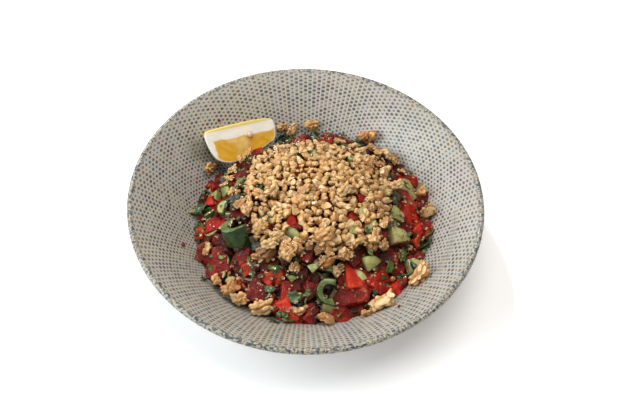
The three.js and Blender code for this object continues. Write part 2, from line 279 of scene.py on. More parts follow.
def spiced(tree, colour, amount=0.85):
    node = addNode(tree, "ShaderNodeGroup")
    node.node_tree = spiceDust
    dark = maths(tree, "MULTIPLY", node.outputs["Dark"], amount)
    green = maths(tree, "MULTIPLY", node.outputs["Green"], amount)
    dusted = mixColour(tree, dark, colour, (0.030, 0.012, 0.008, 1))
    return mixColour(tree, green, dusted, (0.045, 0.085, 0.020, 1))


# pieces

# operators may leave what they make in an order that changes from run to run
def putInOrder(shape):
    shape.verts.index_update()
    places = [tuple(round(value, 4) for value in vert.co) for vert in shape.verts]
    ranks = {index: rank for rank, index in enumerate(sorted(range(len(places)), key=places.__getitem__))}
    shape.verts.sort(key=lambda vert: ranks[vert.index])
    shape.verts.index_update()
    count = len(places)

    def orderOf(part):
        key = 0
        for index in sorted(vert.index for vert in part.verts)[:3]:
            key = key * count + index
        return key

    shape.edges.sort(key=orderOf)
    shape.faces.sort(key=orderOf)


def meshOf(shape, name):
    putInOrder(shape)
    mesh = bpy.data.meshes.new(name)
    shape.to_mesh(mesh)
    shape.free()
    return mesh


def makeObject(name, shape, materials):
    mesh = meshOf(shape, name)
    mesh.transform(Matrix.Scale(mm, 4))
    for material in materials:
        mesh.materials.append(material)
    made = bpy.data.objects.new(name, mesh)
    scene.collection.objects.link(made)
    return made


def finishPiece(name, shape, materials, replaced=()):
    piece = makeObject(name, shape, materials)
    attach(piece, "root")
    for node in replaced:
        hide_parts(node)
    print(name, len(piece.data.polygons), "faces")


def smoothFaces(shape):
    for face in shape.faces:
        face.smooth = True


def bevelSharp(shape, angle, offset, segments=2):
    sharp = [edge for edge in shape.edges if edge.calc_face_angle(0) > angle]
    bmesh.ops.bevel(
        shape, geom=sharp, offset=offset, segments=segments, profile=0.5, affect="EDGES", material=-1,
    )


def spinRound(shape, section, steps, centre=(0, 0, 0)):
    corners = [shape.verts.new(Vector(centre) + Vector((radius, 0, z))) for radius, z in section]
    edges = [shape.edges.new(pair) for pair in zip(corners, corners[1:])]
    bmesh.ops.spin(
        shape, geom=corners + edges, cent=centre, axis=(0, 0, 1), angle=math.tau, steps=steps, use_merge=True,
    )
    bmesh.ops.remove_doubles(shape, verts=shape.verts, dist=1e-4)


def raiseFaces(shape, height):
    grown = bmesh.ops.extrude_face_region(shape, geom=shape.faces[:])
    lifted = [part for part in grown["geom"] if isinstance(part, bmesh.types.BMVert)]
    bmesh.ops.translate(shape, verts=lifted, vec=(0, 0, height))
    return sorted(lifted, key=lambda vert: vert.co[:])


def centreShape(shape):
    middle = sum((vert.co for vert in shape.verts), Vector()) / len(shape.verts)
    bmesh.ops.translate(shape, verts=shape.verts, vec=-middle)


# what lies on the bowl is pressed to its wall and doesn't pass into it
def restOnBowl(shape):
    gap, softness = 0.3, 3.0
    points = np.array([vert.co[:] for vert in shape.verts])
    for vert, wall in zip(shape.verts, wallAt(points[:, 0], points[:, 1])):
        above = vert.co.z - wall
        if above < gap:
            vert.co.z = wall + gap * math.exp((above - gap) / softness)


# how deep each point lies between the laid pieces, which sets the painted shade there
def markDepth(shape):
    top = pile
    for axis in (0, 1):
        top = np.max([np.roll(top, shift, axis) for shift in (-2, -1, 0, 1, 2)], axis=0)
    deep = shape.verts.layers.float.new("deep")
    points = np.array([vert.co[:] for vert in shape.verts])
    depths = top[cellOf(points[:, 0]), cellOf(points[:, 1])] - points[:, 2]
    for vert, depth in zip(shape.verts, depths):
        vert[deep] = min(1.0, max(0.0, (depth - 2.2) / 8.0))


# bowl

heap = {
    "centre": (6, 0),
    "radius": 92,
    "foot": 13,
    "peak": 47,
    "unevenness": 1.2,
    "coreDepth": 11,    # the core lies this far under the heap's outline
    "coreRadius": 81,
    "reach": 89,        # how far out pieces are laid, and less at the back
    "backReach": 88,
    "edge": (79, 88),
    "edgePieces": 130,
}

bowl = {
    "thickness": 4.5,
    "floor": (58, 9),
    "corner": (83.2, 9),
    "wallFoot": (90, 16),
    "wallBulge": (112.2, 38.9),
    "wallTop": (131.43, 51.62),
    "lipAngle": 33.5,
    "foot": (50, 56),
    "footEdge": 0.8,
    "spokes": 203,
    "rowPitch": 3.25,
    "lemonShadowSeen": (198, 147),      # the pixel of the painted olive shadow beside the lemon
}


def curvePoints(first, middle, last, steps):
    points = []
    for i in range(steps + 1):
        t = i / steps
        blend = ((1 - t) ** 2, 2 * t * (1 - t), t * t)
        points.append(tuple(sum(w * p[k] for w, p in zip(blend, (first, middle, last))) for k in (0, 1)))
    return points


innerWall = (
    curvePoints(bowl["floor"], bowl["corner"], bowl["wallFoot"], 8)
    + curvePoints(bowl["wallFoot"], bowl["wallBulge"], bowl["wallTop"], 16)[1:]
)


def wallHeight(radius):
    return np.interp(radius, [p[0] for p in innerWall], [p[1] for p in innerWall])


def offsetPoints(points, distance):
    moved = []
    for i, point in enumerate(points):
        before = points[max(i - 1, 0)]
        after = points[min(i + 1, len(points) - 1)]
        along = (Vector(after) - Vector(before)).normalized()
        moved.append((point[0] + along.y * distance, point[1] - along.x * distance))
    return moved


def bowlProfile():
    half = bowl["thickness"] / 2
    angle = math.radians(bowl["lipAngle"])
    top = bowl["wallTop"]
    centre = (top[0] + half * math.sin(angle), top[1] - half * math.cos(angle))
    lip = []
    for i in range(1, 12):
        turn = math.pi / 2 + angle - math.pi * i / 12
        lip.append((centre[0] + half * math.cos(turn), centre[1] + half * math.sin(turn)))
    underside = bowl["floor"][1] - bowl["thickness"]
    inside, outside = bowl["foot"]
    edge = bowl["footEdge"]
    outer = offsetPoints(innerWall, bowl["thickness"])[::-1]
    foot = [
        (outside + 1.2, underside), (outside, underside - 1.2), (outside, edge), (outside - edge, 0),
        (inside + edge, 0), (inside, edge), (inside, underside - 1), (inside - 1, underside),
    ]
    return [(0.0, bowl["floor"][1])] + innerWall + lip + outer + foot + [(0.0, underside)]


def makeBowl(material):
    profile = bowlProfile()
    shape = bmesh.new()
    spinRound(shape, profile, bowl["spokes"])
    bmesh.ops.recalc_face_normals(shape, faces=shape.faces)
    smoothFaces(shape)
    # the map's first axis counts spokes round the bowl, its second counts rows of dots down from the lip
    lengths = {}
    walked = 0.0
    for i, point in enumerate(profile):
        if i:
            walked += math.dist(point, profile[i - 1])
        lengths[(round(point[0], 2), round(point[1], 2))] = walked
    lipLength = lengths[(round(bowl["wallTop"][0], 2), round(bowl["wallTop"][1], 2))]
    dots = shape.loops.layers.uv.new("dots")
    for face in shape.faces:
        middle = face.calc_center_median()
        facing = math.atan2(middle.y, middle.x)
        for loop in face.loops:
            place = loop.vert.co
            radius = math.hypot(place.x, place.y)
            turn = math.atan2(place.y, place.x) - facing if radius > 1e-3 else 0.0
            turn = facing + (turn + math.pi) % math.tau - math.pi
            key = (round(radius, 2), round(place.z, 2))
            row = (lipLength - lengths.get(key, lipLength)) / bowl["rowPitch"]
            loop[dots].uv = (turn / math.tau * bowl["spokes"], row)
    finishPiece("bowlBody", shape, [material], ["bowl"])


def buildDotGroup():
    group = bpy.data.node_groups.new("dotWeave", "ShaderNodeTree")
    group.interface.new_socket(name="Vector", in_out="INPUT", socket_type="NodeSocketVector")
    for name in ("Dot", "Ridge", "Spoke", "Chance", "Row"):
        group.interface.new_socket(name=name, in_out="OUTPUT", socket_type="NodeSocketFloat")
    start = addNode(group, "NodeGroupInput")
    across, down = partsOf(group, start.outputs["Vector"])[:2]
    spoke = maths(group, "FLOOR", across)
    odd = maths(group, "FLOORED_MODULO", spoke, 2.0)
    shifted = maths(group, "MULTIPLY_ADD", odd, 0.5, down)
    row = maths(group, "FLOOR", shifted)
    cell = addNode(group, "ShaderNodeCombineXYZ", {0: spoke, 1: row}).outputs[0]
    chance = addNode(group, "ShaderNodeTexWhiteNoise", {"Vector": cell}, noise_dimensions="2D")
    acrossCell = maths(group, "SUBTRACT", maths(group, "SUBTRACT", across, spoke), 0.5)
    downCell = maths(group, "SUBTRACT", maths(group, "SUBTRACT", shifted, row), 0.5)
    # each dot is a wide dash, a little different in size from the next
    size = between(group, chance.outputs[0], 0.0, 1.0, 0.68, 1.2)
    wide = maths(group, "DIVIDE", acrossCell, maths(group, "MULTIPLY", size, 0.33))
    tall = maths(group, "DIVIDE", downCell, maths(group, "MULTIPLY", size, 0.27))
    reach = maths(group, "ADD", maths(group, "MULTIPLY", wide, wide), maths(group, "MULTIPLY", tall, tall))
    edge = maths(group, "ABSOLUTE", acrossCell)
    tint = addNode(group, "ShaderNodeTexWhiteNoise", {"W": spoke}, noise_dimensions="1D")
    addNode(group, "NodeGroupOutput", {
        "Dot": between(group, reach, 1.35, 0.55),
        "Ridge": between(group, edge, 0.36, 0.5),
        "Spoke": tint.outputs[0],
        "Chance": chance.outputs[0],
        "Row": down,
    })
    return group


def makeStoneware(lemonShadowCentre):
    material, tree, shader = startMaterial("stoneware", Roughness=0.4, Coat_Weight=0.25, Coat_Roughness=0.22)
    weave = addNode(tree, "ShaderNodeGroup")
    weave.node_tree = buildDotGroup()
    tree.links.new(mapPlace(tree, "dots"), weave.inputs[0])
    weave = weave.outputs
    clay = colourRamp(tree, weave["Spoke"], [
        (0.0, (0.385, 0.331, 0.254)), (0.3, (0.339, 0.323, 0.254)), (0.55, (0.385, 0.323, 0.285)),
        (0.8, (0.323, 0.323, 0.293)), (1.0, (0.408, 0.354, 0.262)),
    ])
    ridge = maths(tree, "MULTIPLY", weave["Ridge"], 0.55)
    light = mixColour(tree, ridge, clay, (0.477, 0.431, 0.347, 1))
    cloud = objectNoise(tree, 14.0)
    light = mixColour(tree, between(tree, cloud, 0.35, 0.7, 0.0, 0.3), light, (0.339, 0.293, 0.277, 1))
    ink = colourRamp(tree, weave["Chance"], [
        (0.0, (0.077, 0.077, 0.085)), (0.25, (0.035, 0.035, 0.042)), (0.6, (0.015, 0.017, 0.023)),
        (0.8, (0.027, 0.039, 0.046)), (1.0, (0.0092, 0.011, 0.017)),
    ])
    # near the lip the dots turn to coloured blobs
    nearLip = between(tree, weave["Row"], 4.5, -0.5)
    stain = colourRamp(tree, weave["Chance"], [
        (0.0, (0.023, 0.039, 0.077)), (0.25, (0.054, 0.123, 0.131)), (0.5, (0.123, 0.146, 0.085)),
        (0.75, (0.077, 0.069, 0.131)), (0.92, (0.323, 0.146, 0.046)),
    ])
    ink = mixColour(tree, maths(tree, "MULTIPLY", nearLip, 0.75), ink, stain)
    colour = mixColour(tree, maths(tree, "MULTIPLY", weave["Dot"], 0.88), light, ink)
    # on the lip itself the colours run together
    blobs = colourRamp(tree, objectNoise(tree, 430.0, 1.0), [
        (0.3, (0.0092, 0.014, 0.027)), (0.42, (0.023, 0.039, 0.065)), (0.47, (0.123, 0.139, 0.108)),
        (0.52, (0.385, 0.347, 0.262)), (0.60, (0.339, 0.293, 0.2)), (0.64, (0.262, 0.154, 0.077)),
        (0.7, (0.039, 0.046, 0.062)),
    ])
    onLip = maths(tree, "MULTIPLY", between(tree, weave["Row"], 0.7, 0.1, 0.0, 0.85),
                  between(tree, weave["Row"], -3.2, -2.4))
    colour = mixColour(tree, onLip, colour, blobs)
    # thin dressing has run out from under the salad, and painted shade, tinted red by light off the salad,
    # darkens the wall beside it
    aside = distanceFrom(tree, objectPlace(tree), (*heap["centre"], wallHeight(heap["reach"])))
    ragged = maths(tree, "MULTIPLY_ADD", objectNoise(tree, 70.0), 0.022, aside)
    dressingAndShade = between(tree, ragged, (heap["reach"] + 16) * mm, (heap["reach"] + 8) * mm)
    colour = mixColour(tree, maths(tree, "MULTIPLY", dressingAndShade, 0.7), colour, (0.077, 0.017, 0.0092, 1))
    # painted olive shadow that the lemon casts on the wall beside it
    shade = distanceFrom(tree, objectPlace(tree), lemonShadowCentre)
    lemonShadow = between(tree, shade, 17 * mm, 3 * mm, 0.0, 0.55)
    colour = mixColour(tree, lemonShadow, colour, (0.075, 0.065, 0.018, 1))
    relief = maths(tree, "SUBTRACT", maths(tree, "MULTIPLY", weave["Ridge"], 0.6), weave["Dot"])
    paint(tree, shader, colour, relief, 0.6, 0.0004)
    tree.links.new(between(tree, weave["Dot"], 0.0, 1.0, 0.36, 0.5), shader.inputs["Roughness"])
    return material


# the pile: what is laid on it comes to rest on what is there already

chance = np.random.default_rng(11)
pileStep = 1.6
pileHalf = 124
pileCount = int(2 * pileHalf / pileStep) + 1
pileAxis = np.linspace(-pileHalf, pileHalf, pileCount)
pileX, pileY = np.meshgrid(pileAxis, pileAxis, indexing="ij")


def heapHeight(x, y):
    away = np.hypot(x - heap["centre"][0], y - heap["centre"][1]) / heap["radius"]
    crown = np.maximum(0, 1 - away ** 2.4) ** 0.9
    bumps = np.sin(x * 0.13 + 1) * np.cos(y * 0.11) + 0.6 * np.sin(x * 0.07 - y * 0.16)
    return heap["foot"] + (heap["peak"] - heap["foot"]) * crown + heap["unevenness"] * bumps


def coreHeight(x, y):
    return heapHeight(x, y) - heap["coreDepth"]


def wallAt(x, y):
    return wallHeight(np.hypot(x, y))


def outline(x, y):
    return np.maximum(heapHeight(x, y), wallAt(x, y))


pile = np.maximum(coreHeight(pileX, pileY), wallAt(pileX, pileY))


def cellOf(values):
    return np.clip(np.rint((values + pileHalf) / pileStep).astype(int), 0, pileCount - 1)


def heightAt(x, y):
    return float(pile[cellOf(np.float64(x)), cellOf(np.float64(y))])


# how far a piece must rise to rest on the pile, sinking a little into what gives way
def settle(points, spot, overshoot):
    cells = cellOf(points[:, 0]) * pileCount + cellOf(points[:, 1])
    kept, which = np.unique(cells, return_inverse=True)
    low = np.full(len(kept), np.inf)
    high = np.full(len(kept), -np.inf)
    np.minimum.at(low, which, points[:, 2])
    np.maximum.at(high, which, points[:, 2])
    rise = np.quantile(pile.flat[kept] - low, 0.8)
    top = max(float(outline(*spot)) + overshoot, float(wallAt(*spot)) + 0.8 * (high.max() - low.min()))
    rise = min(rise, top - high.max())
    pile.flat[kept] = np.maximum(pile.flat[kept], high + rise)
    return rise


def restTurn(x, y):
    step = 3.0
    slopeX = (outline(x + step, y) - outline(x - step, y)) / (2 * step)
    slopeY = (outline(x, y + step) - outline(x, y - step)) / (2 * step)
    return Vector((0, 0, 1)).rotation_difference(Vector((-slopeX, -slopeY, 1))).to_matrix()


def spotSeen(pixel, lift=3.0):
    place, ray = raySeen(pixel)
    for step in range(1400):
        point = place + ray * (620 + step * 0.3)
        if point.z <= heightAt(point.x, point.y) + lift:
            return point.x, point.y
    return 0.0, 0.0


# points spread over a template's surface, which stand for it while it settles
def surfacePoints(template, count=360):
    places = np.array([vert.co[:] for vert in template.vertices])
    triangles = []
    for face in template.polygons:
        ring = list(face.vertices)
        start = ring.index(min(ring))
        ring = ring[start:] + ring[:start]
        triangles += [(ring[0], *pair) for pair in zip(ring[1:], ring[2:])]
    corners = places[np.array(triangles)]
    first, second = corners[:, 1] - corners[:, 0], corners[:, 2] - corners[:, 0]
    area = np.linalg.norm(np.cross(first, second), axis=1)
    picked = chance.choice(len(area), count, p=area / area.sum())
    along, over = chance.random((2, count, 1))
    folded = along + over > 1
    along, over = np.where(folded, 1 - along, along), np.where(folded, 1 - over, over)
    return corners[picked, 0] + along * first[picked] + over * second[picked]


surfaces = {}


def layPiece(joined, template, spot, size, turn=None, tilt=(0, 0), tone=None, overshoot=4.0):
    turn = draw.uniform(0, math.tau) if turn is None else math.radians(turn)
    tone = draw.random() if tone is None else tone
    pose = restTurn(*spot) @ Euler((*tilt, 0)).to_matrix() @ Matrix.Rotation(turn, 3, "Z")
    pose = pose @ Matrix.Diagonal(size)
    if template.name not in surfaces:
        surfaces[template.name] = surfacePoints(template)
    points = surfaces[template.name] @ np.array(pose).T + (*spot, 0)
    rise = settle(points, spot, overshoot)
    copy = template.copy()
    copy.transform(Matrix.Translation((*spot, rise)) @ pose.to_4x4())
    copy.attributes["tone"].data.foreach_set("value", [tone] * len(copy.vertices))
    joined.from_mesh(copy)
    bpy.data.meshes.remove(copy)


def smoothed(field, reach=2):
    total = np.zeros_like(field)
    for i in range(-reach, reach + 1):
        total += np.roll(field, i, 0)
    spread = np.zeros_like(field)
    for i in range(-reach, reach + 1):
        spread += np.roll(total, i, 1)
    return spread / (2 * reach + 1) ** 2


# lays pieces one by one where the pile is furthest under a level
def fillTo(level, inside, lay, most, unevenness=1.0):
    laid = 0
    while laid < most:
        short = smoothed(level - pile) + chance.normal(0, unevenness, pile.shape)
        short[~inside] = -100
        best = short.argmax()
        if short.flat[best] < 2.2 * unevenness:
            break
        lay((float(pileX.flat[best]), float(pileY.flat[best])))
        laid += 1
    print("laid", laid)


def toTemplate(shape, name):
    smoothFaces(shape)
    shape.verts.layers.float.new("tone")
    bmesh.ops.recalc_face_normals(shape, faces=shape.faces)
    return meshOf(shape, name)


def roughen(shape, scale, amount, seed):
    for vert in shape.verts:
        push = noise.noise_vector(vert.co * scale + Vector((seed * 7.3, seed * 3.1, seed)))
        vert.co += push * amount


# tomato

tomato = {
    "templates": 10,
    "bevel": 0.10,
    "bulge": 0.16,
    "roughness": 0.05,
}


def tomatoTemplate(seed):
    shape = bmesh.new()
    bmesh.ops.create_cube(shape, size=1)
    slant = random.Random(seed)
    pinch = slant.uniform(0.35, 1.0) if seed % 2 else 1.0
    for vert in shape.verts:
        if vert.co.x > 0:
            vert.co.y *= pinch
        vert.co.x += 0.2 * slant.uniform(-1, 1)
        vert.co.y += 0.16 * slant.uniform(-1, 1)
        vert.co.z += 0.12 * slant.uniform(-1, 1)
    bmesh.ops.subdivide_edges(shape, edges=shape.edges, cuts=1, use_grid_fill=True)
    # one side is the fruit's skin and swells outwards
    for face in shape.faces:
        face.material_index = 1 if face.normal.y > 0.75 else 0
    for vert in shape.verts:
        if vert.co.y > 0.3:
            vert.co.y += tomato["bulge"] * max(0.0, 1 - 3 * vert.co.x ** 2 - 2 * vert.co.z ** 2)
    bevelSharp(shape, 0.7, tomato["bevel"])
    roughen(shape, 1.8, tomato["roughness"] * 2.2, seed)
    roughen(shape, 5.0, tomato["roughness"], seed + 50)
    return toTemplate(shape, f"tomatoTemplate{seed}")


def makeTomatoFlesh():
    material, tree, shader = startMaterial(
        "tomatoFlesh", Roughness=0.4, Subsurface_Weight=0.08, Subsurface_Scale=0.0012, Specular_IOR_Level=0.1,
        Coat_Weight=0.3, Coat_Roughness=0.1, Coat_IOR=1.42,
    )
    mottle, grain = mottled(tree, 170.0, 900.0)
    body = colourRamp(tree, pieceTone(tree), [
        (0.0, (0.10, 0.0030, 0.0015)), (0.3, (0.19, 0.0040, 0.002)), (0.6, (0.36, 0.0090, 0.004)),
        (0.85, (0.56, 0.024, 0.007)), (1.0, (0.66, 0.065, 0.010)),
    ])
    # pale sacs and juicy hollows show in the cut
    pale = mixColour(tree, 0.4, body, (0.68, 0.16, 0.056, 1))
    colour = mixColour(tree, between(tree, mottle, 0.52, 0.72, 0.0, 0.75), body, pale)
    deep = mixColour(tree, 0.6, body, (0.048, 0.0032, 0.0024, 1))
    colour = mixColour(tree, between(tree, mottle, 0.44, 0.30, 0.0, 0.8), colour, deep)
    tree.links.new(shadeBetweenPieces(tree, spiced(tree, colour)), shader.inputs["Base Color"])
    lumps = bump(tree, maths(tree, "MULTIPLY_ADD", mottle, 2.0, grain), 0.7, 0.0016)
    tree.links.new(lumps, shader.inputs["Normal"])
    tree.links.new(lumps, shader.inputs["Coat Normal"])
    return material


def makeTomatoSkin():
    material, tree, shader = startMaterial("tomatoSkin", Roughness=0.17, IOR=1.42)
    mottle, grain = mottled(tree, 90.0, 700.0)
    body = colourRamp(tree, pieceTone(tree), [
        (0.0, (0.08, 0.0032, 0.0016)), (0.5, (0.288, 0.008, 0.004)), (1.0, (0.544, 0.04, 0.008)),
    ])
    colour = mixColour(tree, between(tree, mottle, 0.4, 0.8, 0.0, 0.35), body, (0.48, 0.072, 0.016, 1))
    height = maths(tree, "MULTIPLY_ADD", mottle, 2.0, grain)
    paint(tree, shader, shadeBetweenPieces(tree, spiced(tree, colour)), height, 0.25, 0.001)
    return material


# cucumber

cucumber = {
    "segments": 28,
    "thickness": 0.36,
    "bevel": 0.05,
    "templates": 6,
}


def cucumberTemplate(seed):
    slant = random.Random(seed + 90)
    shape = bmesh.new()
    bmesh.ops.create_circle(shape, cap_ends=True, segments=cucumber["segments"], radius=1)
    cuts = [(0, 1, 0)] if seed % 3 == 0 else [(0, 1, 0), (1, -0.15, 0)]
    for cut in cuts:
        parts = shape.verts[:] + shape.edges[:] + shape.faces[:]
        offset = Vector(cut).normalized() * slant.uniform(-0.08, 0.08)
        bmesh.ops.bisect_plane(shape, geom=parts, plane_co=offset, plane_no=cut, clear_inner=True)
    for vert in raiseFaces(shape, cucumber["thickness"]):
        vert.co.z += 0.18 * vert.co.x * slant.uniform(0.4, 1)
    bmesh.ops.recalc_face_normals(shape, faces=shape.faces)
    for face in shape.faces:
        middle = face.calc_center_median()
        outside = math.hypot(middle.x, middle.y) > 0.95 and abs(face.normal.z) < 0.5
        face.material_index = 1 if outside else 0
    bevelSharp(shape, 0.7, cucumber["bevel"])
    bmesh.ops.triangulate(shape, faces=[face for face in shape.faces if len(face.verts) > 4])
    cuts = shape.loops.layers.uv.new("slice")
    for face in shape.faces:
        for loop in face.loops:
            loop[cuts].uv = (loop.vert.co.x * 0.5 + 0.5, loop.vert.co.y * 0.5 + 0.5)
    centreShape(shape)
    roughen(shape, 2.5, 0.05, seed)
    return toTemplate(shape, f"cucumberTemplate{seed}")


def makeCucumberFlesh():
    material, tree, shader = startMaterial(
        "cucumberFlesh", Roughness=0.22, Subsurface_Weight=0.2, Subsurface_Scale=0.003, IOR=1.36,
    )
    mottle, grain = mottled(tree, 220.0, 1200.0)
    slices = mapPlace(tree, "slice")
    inputs = {0: slices, 1: (0.5, 0.5, 0)}
    reach = addNode(tree, "ShaderNodeVectorMath", inputs, operation="DISTANCE").outputs["Value"]
    body = colourRamp(tree, reach, [
        (0.0, (0.334, 0.323, 0.124)), (0.24, (0.263, 0.277, 0.087)), (0.30, (0.368, 0.362, 0.146)),
        (0.42, (0.351, 0.362, 0.124)), (0.475, (0.176, 0.262, 0.051)), (0.5, (0.044, 0.1, 0.014)),
    ])
    ripe = between(tree, pieceTone(tree), 0.3, 1.0, 0.0, 0.5)
    toned = mixColour(tree, ripe, body, (0.439, 0.362, 0.124, 1))
    seeds = cellular(tree, slices, 9.0)[0]
    inner = maths(tree, "MULTIPLY", between(tree, reach, 0.3, 0.22), between(tree, seeds, 0.25, 0.12))
    colour = mixColour(tree, maths(tree, "MULTIPLY", inner, 0.6), toned, (0.477, 0.462, 0.277, 1))
    colour = mixColour(tree, between(tree, mottle, 0.5, 0.8, 0.0, 0.4), colour, (0.154, 0.2, 0.054, 1))
    paint(tree, shader, shadeBetweenPieces(tree, spiced(tree, colour, 0.7)), grain, 0.25, 0.0005)
    return material


def makeGreenSkin(name, dark, light):
    material, tree, shader = startMaterial(name, Roughness=0.22, Coat_Weight=0.6, Coat_Roughness=0.06)
    mottle, grain = mottled(tree, 160.0, 500.0)
    body = mixColour(tree, between(tree, mottle, 0.35, 0.75), (*dark, 1), (*light, 1))
    paint(tree, shader, shadeBetweenPieces(tree, body), grain, 0.1, 0.0005)
    return material


# green pepper

pepper = {
    "segments": 14,
    "wall": 0.26,
    "depth": 0.55,
    "bevel": 0.05,
    "sweeps": (110, 150, 200, 90),
}

bigPepper = {
    "pieces": [
        {
            "bearing": -151, "radius": 56, "outer": 11, "wall": 4.5, "depth": 15,
            "sweep": 190, "turn": 145, "tip": -35,
        },
        {
            "bearing": -75, "radius": 74, "outer": 10, "wall": 4.5, "depth": 11,
            "sweep": 230, "turn": 65, "tip": 10,
        },
    ],
    "lift": 0.32,
    "segments": 30,
    "bevel": 0.7,
    "waves": (0.12, 1.3),
}


# a stretch of a pepper's wall, with its skin outside
def pepperArc(section, sweep, steps, bevel, bevelSteps, turn=0):
    shape = bmesh.new()
    start = Matrix.Rotation(math.radians(turn), 3, "Z")
    shape.faces.new([shape.verts.new(start @ Vector((x, 0, z))) for x, z in section])
    bmesh.ops.spin(
        shape, geom=shape.faces[:], cent=(0, 0, 0), axis=(0, 0, 1), angle=math.radians(sweep), steps=steps,
    )
    putInOrder(shape)
    bmesh.ops.recalc_face_normals(shape, faces=shape.faces)
    for face in shape.faces:
        middle = face.calc_center_median()
        outward = Vector((middle.x, middle.y, 0)).normalized()
        face.material_index = 1 if face.normal.dot(outward) > 0.7 else 0
    bevelSharp(shape, 0.9, bevel, bevelSteps)
    return shape


def pepperTemplate(seed):
    slant = random.Random(seed + 300)
    inner = 1 - pepper["wall"]
    section = [(inner, 0), (1, 0), (1.02, pepper["depth"]), (inner, pepper["depth"])]
    shape = pepperArc(section, pepper["sweeps"][seed], pepper["segments"], pepper["bevel"], 2)
    putInOrder(shape)
    for vert in shape.verts:
        vert.co.z += 0.12 * math.sin(vert.co.x * 3 + seed) * slant.uniform(0.9, 1.1)
    centreShape(shape)
    roughen(shape, 1.6, 0.07, seed)
    return toTemplate(shape, f"pepperTemplate{seed}")


def makeBigPeppers(materials):
    joined = bmesh.new()
    scale, push = bigPepper["waves"]
    for index, piece in enumerate(bigPepper["pieces"]):
        inner, outer, half = piece["outer"] - piece["wall"], piece["outer"], piece["depth"] / 2
        section = [
            (inner, -half), (outer, -half), (outer + 0.5, 0),
            (outer, half), (inner, half), (inner - 0.3, 0),
        ]
        sweep, turn = piece["sweep"], piece["turn"]
        shape = pepperArc(section, sweep, bigPepper["segments"], bigPepper["bevel"], 3, turn)
        for vert in shape.verts:
            vert.co += noise.noise_vector(vert.co * scale + Vector((index * 9, 4, 0))) * push
        x = piece["radius"] * math.cos(math.radians(piece["bearing"]))
        y = piece["radius"] * math.sin(math.radians(piece["bearing"]))
        lean = restTurn(x, y)
        lift = lean @ Vector((0, 0, piece["depth"] * bigPepper["lift"]))
        pose = lean @ Matrix.Rotation(math.radians(piece["tip"]), 3, "X")
        place = Vector((x, y, float(outline(x, y)))) + lift
        bmesh.ops.transform(shape, matrix=Matrix.Translation(place) @ pose.to_4x4(), verts=shape.verts)
        smoothFaces(shape)
        mesh = meshOf(shape, "bigPepperPiece")
        joined.from_mesh(mesh)
        points = np.array([vert.co[:] for vert in mesh.vertices])
        np.maximum.at(pile, (cellOf(points[:, 0]), cellOf(points[:, 1])), points[:, 2])
        bpy.data.meshes.remove(mesh)
    nodes = ["green_pepper_piece_1", "green_pepper_piece_2"]
    finishPiece("bigPepperPieces", joined, materials, nodes)


def makePepperFlesh():
    material, tree, shader = startMaterial("pepperFlesh", Roughness=0.3, Coat_Weight=0.4, Coat_Roughness=0.1)
    mottle, grain = mottled(tree, 260.0, 900.0)
    ribs = between(tree, mottle, 0.3, 0.7)
    body = mixColour(tree, ribs, (0.060, 0.100, 0.014, 1), (0.130, 0.160, 0.042, 1))
    paint(tree, shader, shadeBetweenPieces(tree, spiced(tree, body, 0.7)), grain, 0.25, 0.0005)
    return material


# herbs

herb = {
    "templates": 5,
    "lobes": 9,
    "thickness": 0.06,
    "wave": 0.22,
}


def herbTemplate(seed):
    slant = random.Random(seed + 600)
    shape = bmesh.new()
    bmesh.ops.create_circle(shape, cap_ends=True, segments=herb["lobes"] * 2, radius=0.5)
    for i, vert in enumerate(shape.verts):
        vert.co *= 1.0 if i % 2 else slant.uniform(0.62, 0.8)
        vert.co.y *= 0.62
    bmesh.ops.poke(shape, faces=shape.faces)
    bmesh.ops.subdivide_edges(shape, edges=shape.edges, cuts=1)
    phase = slant.uniform(0, math.tau)
    for vert in shape.verts:
        vert.co.z = herb["wave"] * math.sin(vert.co.x * 5 + phase) * 0.6 + 0.5 * abs(vert.co.y)
    raiseFaces(shape, herb["thickness"])
    return toTemplate(shape, f"herbTemplate{seed}")


def makeHerbGreen():
    material, tree, shader = startMaterial("herbGreen", Roughness=0.4, Coat_Weight=0.15, Coat_Roughness=0.12)
    mottle, grain = mottled(tree, 300.0, 1500.0)
    body = colourRamp(tree, pieceTone(tree), [
        (0.0, (0.011, 0.032, 0.0056)), (0.5, (0.032, 0.077, 0.0098)), (0.85, (0.083, 0.155, 0.017)),
        (1.0, (0.156, 0.211, 0.034)),
    ])
    leaf = mixColour(tree, between(tree, mottle, 0.45, 0.75, 0.0, 0.4), body, (0.129, 0.197, 0.028, 1))
    paint(tree, shader, shadeBetweenPieces(tree, leaf), grain, 0.3, 0.0005)
    return material


# walnut

walnut = {
    "templates": 18,
    "kernels": 8,
    "fineSize": (3.6, 6.0),
    "crumbSize": (6.0, 11.5),
    # where salad shows through the cap, by pixel, and how wide in mm
    "openings": [
        (349, 160, 6), (313, 151, 6), (299, 156, 5), (291, 220, 7), (362, 198, 4), (353, 217, 7), (260, 186, 5),
        (263, 172, 4), (289, 233, 6), (343, 245, 6), (309, 252, 5), (353, 231, 5), (240, 160, 5),
        (300, 229, 4), (318, 227, 4), (331, 238, 5), (272, 229, 4), (304, 243, 5), (262, 215, 4), (365, 225, 5),
    ],
    "capCentre": (9, 8),
    "capRadius": 57,
}


# swells a lump into rounded lobes; how deep a point lies between them is kept as its crease
def lobes(shape, scale, amount, offset):
    crease = shape.verts.layers.float.new("crease")
    for vert in shape.verts:
        near, far = noise.voronoi(vert.co * scale + offset)[0][:2]
        depth = min(1.0, max(0.0, 1 - (far - near) * 2.6))
        vert[crease] = depth
        vert.co *= 1 + amount * (0.35 - near) - amount * 0.45 * depth


